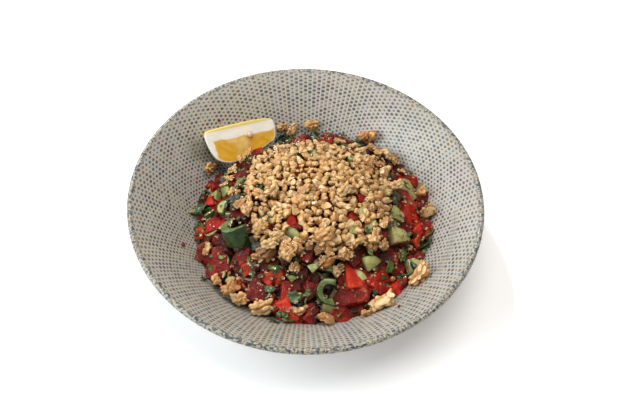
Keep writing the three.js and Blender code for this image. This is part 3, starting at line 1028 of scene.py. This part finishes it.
def breakOff(shape, cuts, reach, slant):
    crease = shape.verts.layers.float["crease"]
    for i in range(cuts):
        normal = Vector((slant.uniform(-1, 1), slant.uniform(-1, 1), slant.uniform(-0.5, 1))).normalized()
        parts = shape.verts[:] + shape.edges[:] + shape.faces[:]
        bmesh.ops.bisect_plane(shape, geom=parts, plane_co=normal * reach, plane_no=normal, clear_outer=True)
        rim = [edge for edge in shape.edges if edge.is_boundary]
        for face in bmesh.ops.edgeloop_fill(shape, edges=rim)["faces"]:
            face.material_index = 1
            middle = face.calc_center_median()
            for piece in bmesh.ops.poke(shape, faces=[face])["faces"]:
                piece.material_index = 1
                for vert in piece.verts:
                    if (vert.co - middle).length < 1e-4:
                        vert.co += normal * slant.uniform(-0.07, 0.03)
                        vert[crease] = 0.2


# broken faces keep their facets
def crispBreaks(template):
    for face in template.polygons:
        face.use_smooth = face.material_index == 0
    return template


def crumbTemplate(seed):
    slant = random.Random(seed + 900)
    shape = bmesh.new()
    bmesh.ops.create_icosphere(shape, subdivisions=2, radius=0.5)
    offset = Vector((seed * 3.7, seed * 1.3, seed * 2.1))
    chip = seed % 3 > 0
    lobes(shape, 1.7, 0.25 if chip else 0.6, offset)
    roughen(shape, 3.0, 0.16, seed)
    breakOff(shape, 4 if chip else 2, slant.uniform(0.2, 0.32), slant)
    bmesh.ops.scale(shape, verts=shape.verts, vec=(1, slant.uniform(0.6, 0.9), slant.uniform(0.55, 0.8)))
    return crispBreaks(toTemplate(shape, f"crumbTemplate{seed}"))


# kernel pieces: a folded half with a groove along it, broken across
def kernelTemplate(seed):
    slant = random.Random(seed + 1200)
    shape = bmesh.new()
    bmesh.ops.create_icosphere(shape, subdivisions=4, radius=0.5)
    offset = Vector((seed * 5.1, seed * 2.3, seed * 1.7))
    bmesh.ops.scale(shape, verts=shape.verts, vec=(1.25, 1, 0.7))
    lobes(shape, 2.6, 0.42, offset)
    crease = shape.verts.layers.float["crease"]
    for vert in shape.verts:
        groove = math.exp(-((vert.co.y - 0.06 * math.sin(7 * vert.co.x)) / 0.06) ** 2) * (vert.co.z > 0)
        vert.co.z -= 0.16 * groove
        vert[crease] = max(vert[crease], 0.8 * groove)
        vert.co.z += 0.45 * vert.co.x ** 2
    roughen(shape, 2.4, 0.16, seed)
    roughen(shape, 8.0, 0.045, seed + 40)
    breakOff(shape, 1 + seed % 3, slant.uniform(0.26, 0.36), slant)
    return crispBreaks(toTemplate(shape, f"kernelTemplate{seed}"))


def makeWalnutMeat(name, stops, veins):
    material, tree, shader = startMaterial(
        name, Roughness=0.42, Subsurface_Weight=0.06, Subsurface_Scale=0.0012,
        Coat_Weight=0.2, Coat_Roughness=0.2,
    )
    mottle, grain = mottled(tree, 300.0, 1500.0)
    body = colourRamp(tree, pieceTone(tree), stops)
    colour = mixColour(tree, between(tree, mottle, 0.46, 0.68, 0.0, 0.7), body, (*veins, 1))
    colour = mixColour(tree, between(tree, grain, 0.55, 0.72, 0.0, 0.35), colour, (0.678, 0.467, 0.234, 1))
    crease = between(tree, attribute(tree, "crease"), 0.4, 1.0, 0.0, 0.7)
    colour = mixColour(tree, crease, colour, (0.231, 0.085, 0.02, 1))
    # painted shade between the pieces
    colour = shadeBetweenPieces(tree, colour, 0.75, (0.154, 0.053, 0.014, 1))
    paint(tree, shader, colour, maths(tree, "MULTIPLY_ADD", mottle, 1.5, grain), 0.5, 0.0009)
    return material


# lemon

lemon = {
    "turn": 126,
    "coreEnd": (-25.06, 73.21, 26.85),
    "lowerFace": 14,
    "upperFace": 51,
    # outline of a cut face: distance along the core line and out from it
    "peelSide": [
        (0.2, 4), (-3.4, 12), (-3.6, 17.6), (-2.4, 20.4), (4.6, 23.5), (14.9, 26.4), (28, 29.3), (41, 31.8),
        (52.5, 33.4), (55, 31.5), (55.7, 26.2), (55.4, 20), (54.7, 15.3), (53.1, 10.5), (50.1, 6.4),
    ],
    "coreSide": [(45.8, 3.5), (40.9, 1.6), (31.1, 0.5), (21.3, 0.6), (14.2, 1.1), (5.8, 2.5)],
    "zestEnd": 9,       # the peel is pared away past this point of the outline
    "middle": (26, 16),
    "taper": 0.009,
    "layers": 16,
    "rings": 14,
    "pithUnder": (20.6, 0.237),    # the top edge's height at the core's end, and its slope
    "pithDepth": 8.6,
    "endPith": 5.5,
    "seed": {"along": 19.5, "out": 16.5, "size": (6.4, 5.0, 4.0)},
    "cutSoftness": 0.55,
}


def lemonPlace(along, out, angle):
    below = out * math.sin(math.radians(lemon["upperFace"]) - angle)
    middle = lemon["middle"][0]
    along = middle + (along - middle) * (1 - lemon["taper"] * below)
    local = Vector((out * math.cos(angle), along, out * math.sin(angle)))
    return Matrix.Rotation(math.radians(lemon["turn"]), 3, "Z") @ local + Vector(lemon["coreEnd"])


def smoothLoop(points, steps):
    smooth = []
    count = len(points)
    for i in range(count):
        before, first, second, after = (Vector(points[(i + k) % count]) for k in (-1, 0, 1, 2))
        for step in range(steps):
            t = step / steps
            smooth.append(0.5 * (
                2 * first + (second - before) * t + (2 * before - 5 * first + 4 * second - after) * t ** 2
                + (3 * first - before - 3 * second + after) * t ** 3
            ))
    return smooth


# the two cut faces are rings of the outline shrinking to its middle, joined round the edge by the peel
def makeLemon(flesh, zest):
    steps = 4
    edge = smoothLoop(lemon["peelSide"] + lemon["coreSide"], steps)
    zestEnd = lemon["zestEnd"] * steps
    middle = Vector(lemon["middle"])
    shape = bmesh.new()
    cutFace = shape.loops.layers.uv.new("cutFace")
    faceSpot = shape.loops.layers.uv.new("faceSpot")
    spots = {}
    angles = [lemon["lowerFace"] + (lemon["upperFace"] - lemon["lowerFace"]) * i / lemon["layers"]
              for i in range(lemon["layers"] + 1)]
    softness = lemon["cutSoftness"]

    def ringOf(inward, angle, sunk):
        verts = []
        for along, out in edge:
            inner = Vector((along, max(out, 0.5))).lerp(middle, inward)
            normal = lemonPlace(0, 1, angle + math.pi / 2) - lemonPlace(0, 0, angle)
            verts.append(shape.verts.new(lemonPlace(inner.x, inner.y, angle) + normal * sunk(inner)))
            spots[verts[-1]] = inner / 100
        return verts

    def band(first, second, insets, material=0):
        for i in range(len(edge)):
            j = (i + 1) % len(edge)
            face = shape.faces.new((first[i], first[j], second[j], second[i]))
            isPeel = material == 1 and 2 <= i < zestEnd
            face.material_index = 1 if isPeel else 0
            start, end = i / len(edge), (i + 1) / len(edge)
            near, far = insets
            for loop, spot in zip(face.loops, ((start, near), (end, near), (end, far), (start, far))):
                loop[cutFace].uv = spot

    layers = [ringOf(0.0, math.radians(angle), lambda place: 0.0) for angle in angles]
    for first, second in zip(layers, layers[1:]):
        band(first, second, (0.0, 0.0), 1)
    for start, angle, side in ((layers[0], angles[0], 1), (layers[-1], angles[-1], -1)):
        ring = start
        for i in range(1, lemon["rings"] + 1):
            inward = (i / lemon["rings"]) ** 1.3 * 0.97
            before = ((i - 1) / lemon["rings"]) ** 1.3 * 0.97

            def sunk(place, inward=inward):
                ripple = 0.5 + 0.5 * noise.noise(Vector((place.x * 0.5, place.y * 0.16, 3)))
                return side * softness * ripple * min(1.0, max(0.0, inward - 0.16) * 6)

            inner = ringOf(inward, math.radians(angle), sunk)
            band(ring, inner, (before, inward))
            ring = inner
        face = shape.faces.new(ring)
        for loop in face.loops:
            loop[cutFace].uv = (0.5, 1.0)
    for face in shape.faces:
        for loop in face.loops:
            loop[faceSpot].uv = spots[loop.vert]
    bmesh.ops.triangulate(shape, faces=[face for face in shape.faces if len(face.verts) > 4])
    bmesh.ops.recalc_face_normals(shape, faces=shape.faces)
    smoothFaces(shape)
    bevelSharp(shape, 0.6, 0.35)
    finishPiece("lemonWedge", shape, [flesh, zest], ["lemon_wedge"])


def makeLemonSeed(material):
    values = lemon["seed"]
    shape = bmesh.new()
    bmesh.ops.create_uvsphere(shape, u_segments=16, v_segments=10, radius=0.5)
    for vert in shape.verts:
        vert.co.y *= 1 - 0.5 * max(0.0, vert.co.x + 0.1)
    bmesh.ops.scale(shape, verts=shape.verts, vec=values["size"])
    place = lemonPlace(values["along"], values["out"], math.radians(lemon["upperFace"]))
    bmesh.ops.rotate(shape, verts=shape.verts, cent=(0, 0, 0), matrix=Euler((0.3, -0.4, 2.4)).to_matrix())
    bmesh.ops.translate(shape, verts=shape.verts, vec=place)
    smoothFaces(shape)
    finishPiece("lemonSeed", shape, [material])


def makeLemonFlesh():
    material, tree, shader = startMaterial(
        "lemonFlesh", Roughness=0.3, Subsurface_Weight=0.2, Subsurface_Scale=0.002, IOR=1.34,
    )
    inset = partsOf(tree, mapPlace(tree, "cutFace"))[1]
    # the second map holds the place along the core and out from it, in tenths of a metre
    spot = partsOf(tree, mapPlace(tree, "faceSpot"))
    along, out = (maths(tree, "MULTIPLY", spot[axis], 100.0) for axis in (0, 1))
    height, slope = lemon["pithUnder"]
    ragged = between(tree, objectNoise(tree, 90.0), 0.3, 0.7, -0.9, 0.9)
    underTop = maths(tree, "SUBTRACT", maths(tree, "MULTIPLY_ADD", along, slope, height), out)
    fromEnd = maths(tree, "MULTIPLY_ADD", out, -0.12, maths(tree, "SUBTRACT", 58.5, along))
    depth, endDepth = lemon["pithDepth"], lemon["endPith"]
    topPith = between(tree, maths(tree, "ADD", underTop, ragged), depth + 0.9, depth - 0.7)
    endPith = between(tree, maths(tree, "ADD", fromEnd, ragged), endDepth + 1, endDepth - 1)
    rim = between(tree, inset, 0.07, 0.02, 0.0, 0.7)
    pith = maths(tree, "MAXIMUM", maths(tree, "MAXIMUM", topPith, endPith), rim)
    turned = addNode(tree, "ShaderNodeMapping", {
        "Vector": objectPlace(tree), "Rotation": (0, 0, -math.radians(lemon["turn"])),
        "Scale": (90.0, 420.0, 90.0),
    }).outputs[0]
    sacs = cellular(tree, turned, 1.0)[0]
    juicy = colourRamp(tree, sacs, [
        (0.0, (0.82, 0.480, 0.060)), (0.5, (0.77, 0.400, 0.024)), (1.0, (0.68, 0.315, 0.010)),
    ])
    deeper = mixColour(tree, between(tree, objectNoise(tree, 55.0), 0.42, 0.75), juicy, (0.84, 0.61, 0.22, 1))
    edgeLine = between(tree, underTop, 1.0, 0.2)
    white = mixColour(tree, edgeLine, (0.97, 0.91, 0.80, 1), (0.88, 0.70, 0.24, 1))
    # the skin between two segments runs down from the seed
    aside = maths(tree, "ABSOLUTE", maths(tree, "SUBTRACT", along, lemon["seed"]["along"] + 2.5))
    skin = maths(tree, "MULTIPLY", between(tree, aside, 1.8, 0.4, 0.0, 0.5), between(tree, out, 17.0, 15.0))
    deeper = mixColour(tree, skin, deeper, (0.72, 0.38, 0.16, 1))
    paint(tree, shader, mixColour(tree, pith, deeper, white), sacs, 0.3, 0.0006)
    tree.links.new(between(tree, pith, 0.0, 1.0, 0.25, 0.6), shader.inputs["Roughness"])
    return material


def makeLemonZest():
    material, tree, shader = startMaterial("lemonZest", Roughness=0.38, Coat_Weight=0.2, Coat_Roughness=0.2)
    pores = cellular(tree, objectPlace(tree), 700.0)[0]
    body = mixColour(tree, objectNoise(tree, 60.0), (0.704, 0.493, 0.056, 1), (0.774, 0.581, 0.112, 1))
    paint(tree, shader, body, pores, 0.4, 0.0006)
    return material


def makeSeedMaterial():
    material, tree, shader = startMaterial(
        "lemonSeedSkin", Roughness=0.35, Coat_Weight=0.4, Coat_Roughness=0.1,
    )
    body = mixColour(tree, objectNoise(tree, 500.0), (0.50, 0.27, 0.15, 1), (0.72, 0.50, 0.36, 1))
    tree.links.new(body, shader.inputs["Base Color"])
    return material


# dressed core, darkened with painted shade, and drops of dressing

core = {
    "rings": 24,
    "steps": 96,
    "floorGap": 0.4,
    "lumps": 1.6,
    "lumpScale": 0.12,
    "leastDepth": 1.0,
}


# a disc whose top follows the heap's outline and whose underside follows the bowl
def makeCore(material):
    shape = bmesh.new()
    radii = [heap["coreRadius"] * i / core["rings"] for i in range(core["rings"] + 1)]
    section = [(radius, 1) for radius in radii] + [(radius, 0) for radius in reversed(radii)]
    spinRound(shape, section, core["steps"], (*heap["centre"], 0))
    for vert in shape.verts:
        x, y = vert.co.x, vert.co.y
        under = float(wallAt(x, y)) + core["floorGap"]
        lumps = core["lumps"] * noise.noise(Vector((x, y, 0)) * core["lumpScale"])
        over = float(coreHeight(x, y)) + lumps
        vert.co.z = max(under + core["leastDepth"], over) if vert.co.z > 0.5 else under
    bmesh.ops.recalc_face_normals(shape, faces=shape.faces)
    smoothFaces(shape)
    finishPiece("saladCore", shape, [material], ["salad_heap"])


def makeCoreMaterial():
    material, tree, shader = startMaterial(
        "dressedCoreInShade", Roughness=0.3, IOR=1.36, Coat_Weight=0.25, Coat_Roughness=0.05,
    )
    mottle, grain = mottled(tree, 130.0, 700.0)
    # the core's near-black reds are painted shade: it shows only deep in the gaps between pieces
    body = colourRamp(tree, mottle, [
        (0.3, (0.030, 0.006, 0.003)), (0.5, (0.10, 0.010, 0.006)), (0.62, (0.05, 0.035, 0.008)),
        (0.75, (0.16, 0.020, 0.010)),
    ])
    paint(tree, shader, body, grain, 0.5, 0.0015)
    return material


drops = {
    "count": 520,
    "size": (1.3, 2.8),
    "flatness": 0.55,
}


def dropTemplate():
    shape = bmesh.new()
    bmesh.ops.create_icosphere(shape, subdivisions=2, radius=0.5)
    return toTemplate(shape, "dropTemplate")


def makeDressing():
    material, tree, shader = startMaterial("dressing", Roughness=0.04, IOR=1.45, Transmission_Weight=0.85)
    body = mixColour(tree, pieceTone(tree), (0.80, 0.45, 0.28, 1), (0.88, 0.80, 0.50, 1))
    tree.links.new(body, shader.inputs["Base Color"])
    return material


def makeFloor():
    shape = bmesh.new()
    bmesh.ops.create_grid(shape, x_segments=1, y_segments=1, size=studio["floor"] / 2)
    bmesh.ops.translate(shape, verts=shape.verts, vec=(0, 0, -0.2))
    material = startMaterial(
        "paleFloor", Roughness=0.8, Base_Color=(0.93, 0.93, 0.93, 1),
        Emission_Color=(1, 1, 1, 1), Emission_Strength=0.15,
    )[0]
    makeObject("paleFloor", shape, [material])


def makeWorld():
    world = bpy.data.worlds.new("studioWorld")
    world.use_nodes = True
    strength, colour = studio["world"]
    background = world.node_tree.nodes["Background"]
    background.inputs["Color"].default_value = (*colour, 1)
    background.inputs["Strength"].default_value = strength
    scene.world = world


# build

makeCamera()
for lightName in ("window", "sheen", "overhead", "spark"):
    makeLight(lightName)
makeWorld()
makeFloor()
# where the painted shadow beside the lemon lies
lemonShadowSpot = spotSeen(bowl["lemonShadowSeen"])
makeBowl(makeStoneware((*lemonShadowSpot, heightAt(*lemonShadowSpot))))
makeCore(makeCoreMaterial())
makeLemon(makeLemonFlesh(), makeLemonZest())
makeLemonSeed(makeSeedMaterial())
print("bowl, core and lemon made")

# how each kind is laid: its scale, with ranges to draw from, how far it may tip and how far it may stand out
kinds = {
    "tomato": {"scale": (1, (0.75, 1.0), (0.5, 0.75)), "tip": 0.4, "overshoot": 4.0},
    "cucumber": {"scale": (0.56, 0.56, (0.8, 1.15)), "tip": 0.35, "overshoot": 6.0},
    "pepper": {"scale": (0.6, 0.6, 0.6), "tip": 0.7, "overshoot": 4.0},
    "herb": {"scale": (1, 1, 0.8), "tip": 0.4, "overshoot": 7.0},
    "crumb": {"scale": (1, (0.8, 1), 1), "tip": 0.9, "overshoot": 7.0},
    "kernel": {"scale": (0.85, 0.75, 0.75), "tip": 0.5, "overshoot": 14.0},
}
templateMakers = {
    "tomato": (tomatoTemplate, tomato["templates"]),
    "cucumber": (cucumberTemplate, cucumber["templates"]),
    "pepper": (pepperTemplate, len(pepper["sweeps"])),
    "herb": (herbTemplate, herb["templates"]),
    "crumb": (crumbTemplate, walnut["templates"]),
    "kernel": (kernelTemplate, walnut["kernels"]),
}
for kind, (makeTemplate, count) in templateMakers.items():
    kinds[kind]["templates"] = [makeTemplate(seed) for seed in range(count)]
    kinds[kind]["pieces"] = bmesh.new()


def lay(kind, spot, size, turn=None, tone=None, overshoot=None):
    values = kinds[kind]
    scale = [size * (draw.uniform(*part) if isinstance(part, tuple) else part) for part in values["scale"]]
    template = draw.choice(values["templates"])
    tip = draw.uniform(-values["tip"], values["tip"]), draw.uniform(-values["tip"], values["tip"])
    overshoot = values["overshoot"] if overshoot is None else overshoot
    layPiece(values["pieces"], template, spot, scale, turn, tip, tone, overshoot)


def underLemon(x, y):
    turn = math.radians(lemon["turn"])
    right, back = x - lemon["coreEnd"][0], y - lemon["coreEnd"][1]
    along = -right * math.sin(turn) + back * math.cos(turn)
    across = right * math.cos(turn) + back * math.sin(turn)
    return (along > -8) & (along < 62) & (across > -3) & (across < 36)


def heapSpot(bearing, out):
    return heap["centre"][0] + out * math.cos(bearing), heap["centre"][1] + out * math.sin(bearing)


# kind, the draw it is chosen up to, its sizes, and how much further it stands out
bodyMix = (
    ("tomato", 0.46, (11, 16), 0), ("cucumber", 0.72, (12, 18), 0),
    ("pepper", 0.84, (9, 13), 1), ("herb", 1, (9, 15), 1.5),
)
edgeMix = (
    ("tomato", 0.5, (7, 11), 0), ("cucumber", 0.65, (8, 12), 0), ("herb", 0.85, (8, 13), 0),
    ("crumb", 1, (5, 9), 0),
)


def layMixed(spot, mix, standOut, smaller=1.0):
    pick = draw.random()
    over = draw.uniform(*standOut)
    kind, sizes, further = next((row[0], row[2], row[3]) for row in mix if pick < row[1])
    size = draw.uniform(*sizes) * (smaller if kind in ("tomato", "cucumber") else 1.0)
    tone = draw.uniform(0, 0.8) if kind == "tomato" else None
    lay(kind, spot, size, tone=tone, overshoot=over + further)


def layAnything(spot):
    out = math.hypot(spot[0] - heap["centre"][0], spot[1] - heap["centre"][1])
    layMixed(spot, bodyMix, (-1.5, 2.5), 0.66 if out > 78 else 1.0)


heapOut = np.hypot(pileX - heap["centre"][0], pileY - heap["centre"][1])
clearOfLemon = ~underLemon(pileX, pileY)
level = np.maximum(heapHeight(pileX, pileY) - 3.0, wallAt(pileX, pileY) + 3.0)
reach = np.where(pileY > 40, heap["backReach"], heap["reach"])
fillTo(level, (heapOut < reach) & clearOfLemon, layAnything, 520)


for i in range(heap["edgePieces"]):
    bearing = math.tau * (i + draw.uniform(-0.4, 0.4)) / heap["edgePieces"] * 2
    spot = heapSpot(bearing, draw.uniform(*heap["edge"]))
    if not underLemon(*spot):
        layMixed(spot, edgeMix, (1, 4))

# what the photo shows on top, by the pixel it's seen at: x, y, size, turn, tone
placed = {
    "tomato": [
        (203, 228, 14, 80, 0.95), (216, 222, 18, 10, 0.5), (236, 173, 14, 40, 0.6), (201, 251, 13, 80, 0.25),
        (220, 258, 22, 15, 0.35), (244, 255, 13, 70, 0.4), (249, 266, 12, 30, 0.9), (258, 286, 24, 80, 0.15),
        (276, 272, 18, 20, 1.0), (294, 287, 20, 5, 0.55), (287, 306, 20, 30, 0.85), (311, 316, 17, 60, 0.3),
        (340, 311, 19, 50, 0.45), (351, 292, 25, 10, 0.3), (357, 304, 12, 0, 0.1), (357, 272, 26, 8, 0.8),
        (381, 279, 18, 50, 0.65), (395, 287, 14, 40, 0.7), (388, 258, 17, 10, 0.2), (410, 211, 20, 84, 0.75),
        (420, 228, 17, 60, 0.85), (416, 238, 12, 70, 1.0), (396, 174, 18, 40, 0.5), (379, 234, 14, 10, 0.5),
        (353, 217, 14, 60, 0.55), (291, 220, 14, 80, 0.6), (343, 245, 12, 20, 0.5), (309, 252, 16, 70, 0.25),
        (257, 150, 12, 10, 0.4), (240, 160, 12, 30, 0.2), (325, 141, 16, 0, 0.45), (223, 204, 12, 40, 0.6),
        (219, 119, 2.6, 0, 0.1), (331, 134, 2.8, 40, 0.3), (399, 305, 2.2, 0, 0.2), (183, 244, 3, 10, 0.1),
        (212, 199, 13, 80, 0.7), (362, 198, 9, 30, 0.6), (359, 158, 11, 80, 0.35), (214, 185, 9, 30, 0.5),
    ],
    "cucumber": [
        (407, 186, 34, 60, 0.9), (383, 180, 14, 90, 0.4), (384, 192, 12, 60, 0.8), (395, 214, 22, 0, 0.7),
        (397, 237, 24, 20, 0.8), (370, 260, 20, 45, 0.6), (414, 260, 24, 30, 0.2), (353, 231, 13, 0, 0.5),
        (349, 160, 17, 130, 0.5), (313, 151, 16, 0, 0.3), (289, 233, 16, 10, 0.4), (313, 269, 13, 50, 0.5),
        (330, 301, 22, 5, 0.7), (292, 277, 10, 40, 0.3), (231, 276, 12, 60, 1.0), (228, 190, 17, 20, 0.0),
        (249, 158, 11, 120, 0.4), (196, 212, 11, 0, 0.1), (362, 212, 10, 80, 0.9), (369, 228, 11, 60, 1.0),
        (217, 192, 13, 50, 0.5), (239, 181, 11, 10, 0.7), (222, 206, 11, 70, 0.3),
    ],
    "herb": [
        (280, 139, 11, 40, 0.1), (284, 135, 9, 0, 0.3), (203, 206, 18, 80, 0.2), (260, 186, 15, 80, 0.1),
        (263, 172, 14, 20, 0.1), (235, 197, 15, 20, 0.05),
        (299, 156, 15, 20, 0.05), (364, 156, 15, 60, 0.8), (421, 206, 14, 30, 0.4), (429, 231, 18, 70, 0.6),
        (426, 243, 16, 20, 0.2), (389, 265, 13, 80, 0.75), (270, 287, 10, 10, 0.2), (294, 295, 16, 10, 0.4),
        (325, 312, 14, 80, 0.2), (289, 320, 12, 30, 0.5), (402, 254, 16, 60, 0.7), (257, 245, 12, 10, 0.05),
        (204, 277, 10, 60, 0.2), (236, 205, 12, 50, 0.5), (405, 275, 14, 20, 0.15), (274, 320, 10, 0, 0.2),
    ],
}
for kind, rows in placed.items():
    for px, py, size, turn, tone in rows:
        lay(kind, spotSeen((px, py)), size * (0.87 if kind == "tomato" else 1.0), turn, tone)
print("seen pieces laid")

pepperLook = [
    makePepperFlesh(),
    makeGreenSkin("pepperSkin", (0.007, 0.022, 0.003), (0.024, 0.065, 0.007)),
]
makeBigPeppers(pepperLook)

capAcross, capAlong = (abs(axis - middle) for axis, middle in zip((pileX, pileY), walnut["capCentre"]))
capOut = (capAcross ** 2.6 + capAlong ** 2.6) ** (1 / 2.6)


bitSpots = [(draw.gauss(0, 1), draw.gauss(0, 1)) for i in range(240)]
for right, back in bitSpots:
    out = math.hypot(right, back) or 1.0
    reach = min(out * 38 + 22, 90) / out
    spot = (heap["centre"][0] + right * reach, heap["centre"][1] + back * reach)
    if not underLemon(*spot):
        lay("herb", spot, draw.uniform(2.5, 6.5), overshoot=8.0)


def layFineCrumb(spot):
    lay("crumb", spot, draw.uniform(*walnut["fineSize"]))


def layCapCrumb(spot):
    lay("crumb", spot, draw.uniform(*walnut["crumbSize"]))


inCap = (capOut + 3 * np.sin(pileX * 0.21) * np.cos(pileY * 0.17) < walnut["capRadius"] - 3) & clearOfLemon
for px, py, width in walnut["openings"]:
    opening = spotSeen((px, py))
    inCap &= np.hypot(pileX - opening[0], pileY - opening[1]) > width
level = heapHeight(pileX, pileY) + 2.8
fillTo(level, inCap, layFineCrumb, 900, 0.6)
fillTo(level + 2.7, inCap, layCapCrumb, 420, 0.9)
print("walnut cap laid")

walnutSeen = [
    (311, 127, 14, 10), (292, 131, 12, 60), (282, 128, 10, 30), (370, 137, 17, 20), (381, 163, 13, 60),
    (394, 158, 11, 80), (422, 190, 13, 30), (428, 212, 16, 10), (420, 276, 21, 40), (383, 303, 21, 10),
    (365, 313, 10, 30), (262, 311, 18, 20), (238, 303, 16, 20), (230, 290, 17, 70), (217, 282, 14, 80),
    (207, 249, 10, 70), (211, 170, 15, 30), (300, 311, 11, 0), (328, 321, 16, 10), (246, 206, 16, 60),
    (259, 228, 14, 40), (286, 247, 20, 10), (265, 252, 18, 20), (287, 260, 12, 70), (295, 269, 11, 40),
    (325, 236, 20, 30), (327, 261, 15, 50), (343, 257, 13, 0), (337, 271, 12, 60), (375, 239, 14, 80),
    (384, 247, 12, 60), (273, 191, 14, 30), (274, 236, 12, 0), (306, 187, 13, 10), (345, 190, 13, 40),
    (362, 139, 12, 20), (372, 147, 13, 70), (379, 153, 12, 40), (387, 160, 11, 0), (370, 160, 10, 50),
    (361, 150, 9, 10), (384, 171, 12, 80), (396, 190, 12, 30), (233, 169, 9, 10), (241, 162, 9, 50),
    (229, 178, 8, 20), (232, 191, 9, 60), (248, 152, 9, 30), (353, 145, 9, 60), (340, 141, 9, 10),
    (241, 200, 12, 20), (270, 244, 13, 10), (224, 183, 7, 30), (238, 190, 7, 80), (402, 170, 8, 40),
]
for px, py, size, turn in walnutSeen:
    lay("kernel", spotSeen((px, py)), size, turn)

dressed = bmesh.new()
dropShape = dropTemplate()
for i in range(drops["count"]):
    bearing = draw.uniform(0, math.tau)
    spot = heapSpot(bearing, heap["reach"] * math.sqrt(draw.uniform(0.2, 1)))
    size = draw.uniform(*drops["size"])
    if not underLemon(*spot):
        scale = (size, size * draw.uniform(0.6, 1), size * drops["flatness"])
        layPiece(dressed, dropShape, spot, scale, overshoot=12.0)
print("dressing laid")

tomatoLook = [makeTomatoFlesh(), makeTomatoSkin()]
cucumberLook = [
    makeCucumberFlesh(),
    makeGreenSkin("cucumberSkin", (0.015, 0.052, 0.0089), (0.044, 0.118, 0.022)),
]
walnutLook = [
    makeWalnutMeat("walnutMeat", [
        (0.0, (0.438, 0.19, 0.045)), (0.3, (0.604, 0.313, 0.09)), (0.8, (0.686, 0.402, 0.141)),
        (1.0, (0.717, 0.477, 0.202)),
    ], (0.438, 0.177, 0.033)),
    makeWalnutMeat("walnutBreak", [
        (0.0, (0.657, 0.408, 0.157)), (1.0, (0.732, 0.545, 0.281)),
    ], (0.589, 0.327, 0.107)),
]
walnutNodes = [f"walnut_piece_{i}" for i in range(1, 11)]
finished = (
    ("tomatoDice", kinds["tomato"]["pieces"], tomatoLook, "salad", []),
    ("cucumberPieces", kinds["cucumber"]["pieces"], cucumberLook, "salad", []),
    ("pepperPieces", kinds["pepper"]["pieces"], pepperLook, "salad", []),
    ("herbLeaves", kinds["herb"]["pieces"], [makeHerbGreen()], "salad", []),
    ("dressingDrops", dressed, [makeDressing()], "salad", []),
    ("walnutCrumbs", kinds["crumb"]["pieces"], walnutLook, "walnut", ["walnut_topping"]),
    ("walnutKernels", kinds["kernel"]["pieces"], walnutLook, "walnut", walnutNodes),
)
for name, pieces, look, slotName, replaced in finished:
    restOnBowl(pieces)
    markDepth(pieces)
    finishPiece(name, pieces, look, replaced)
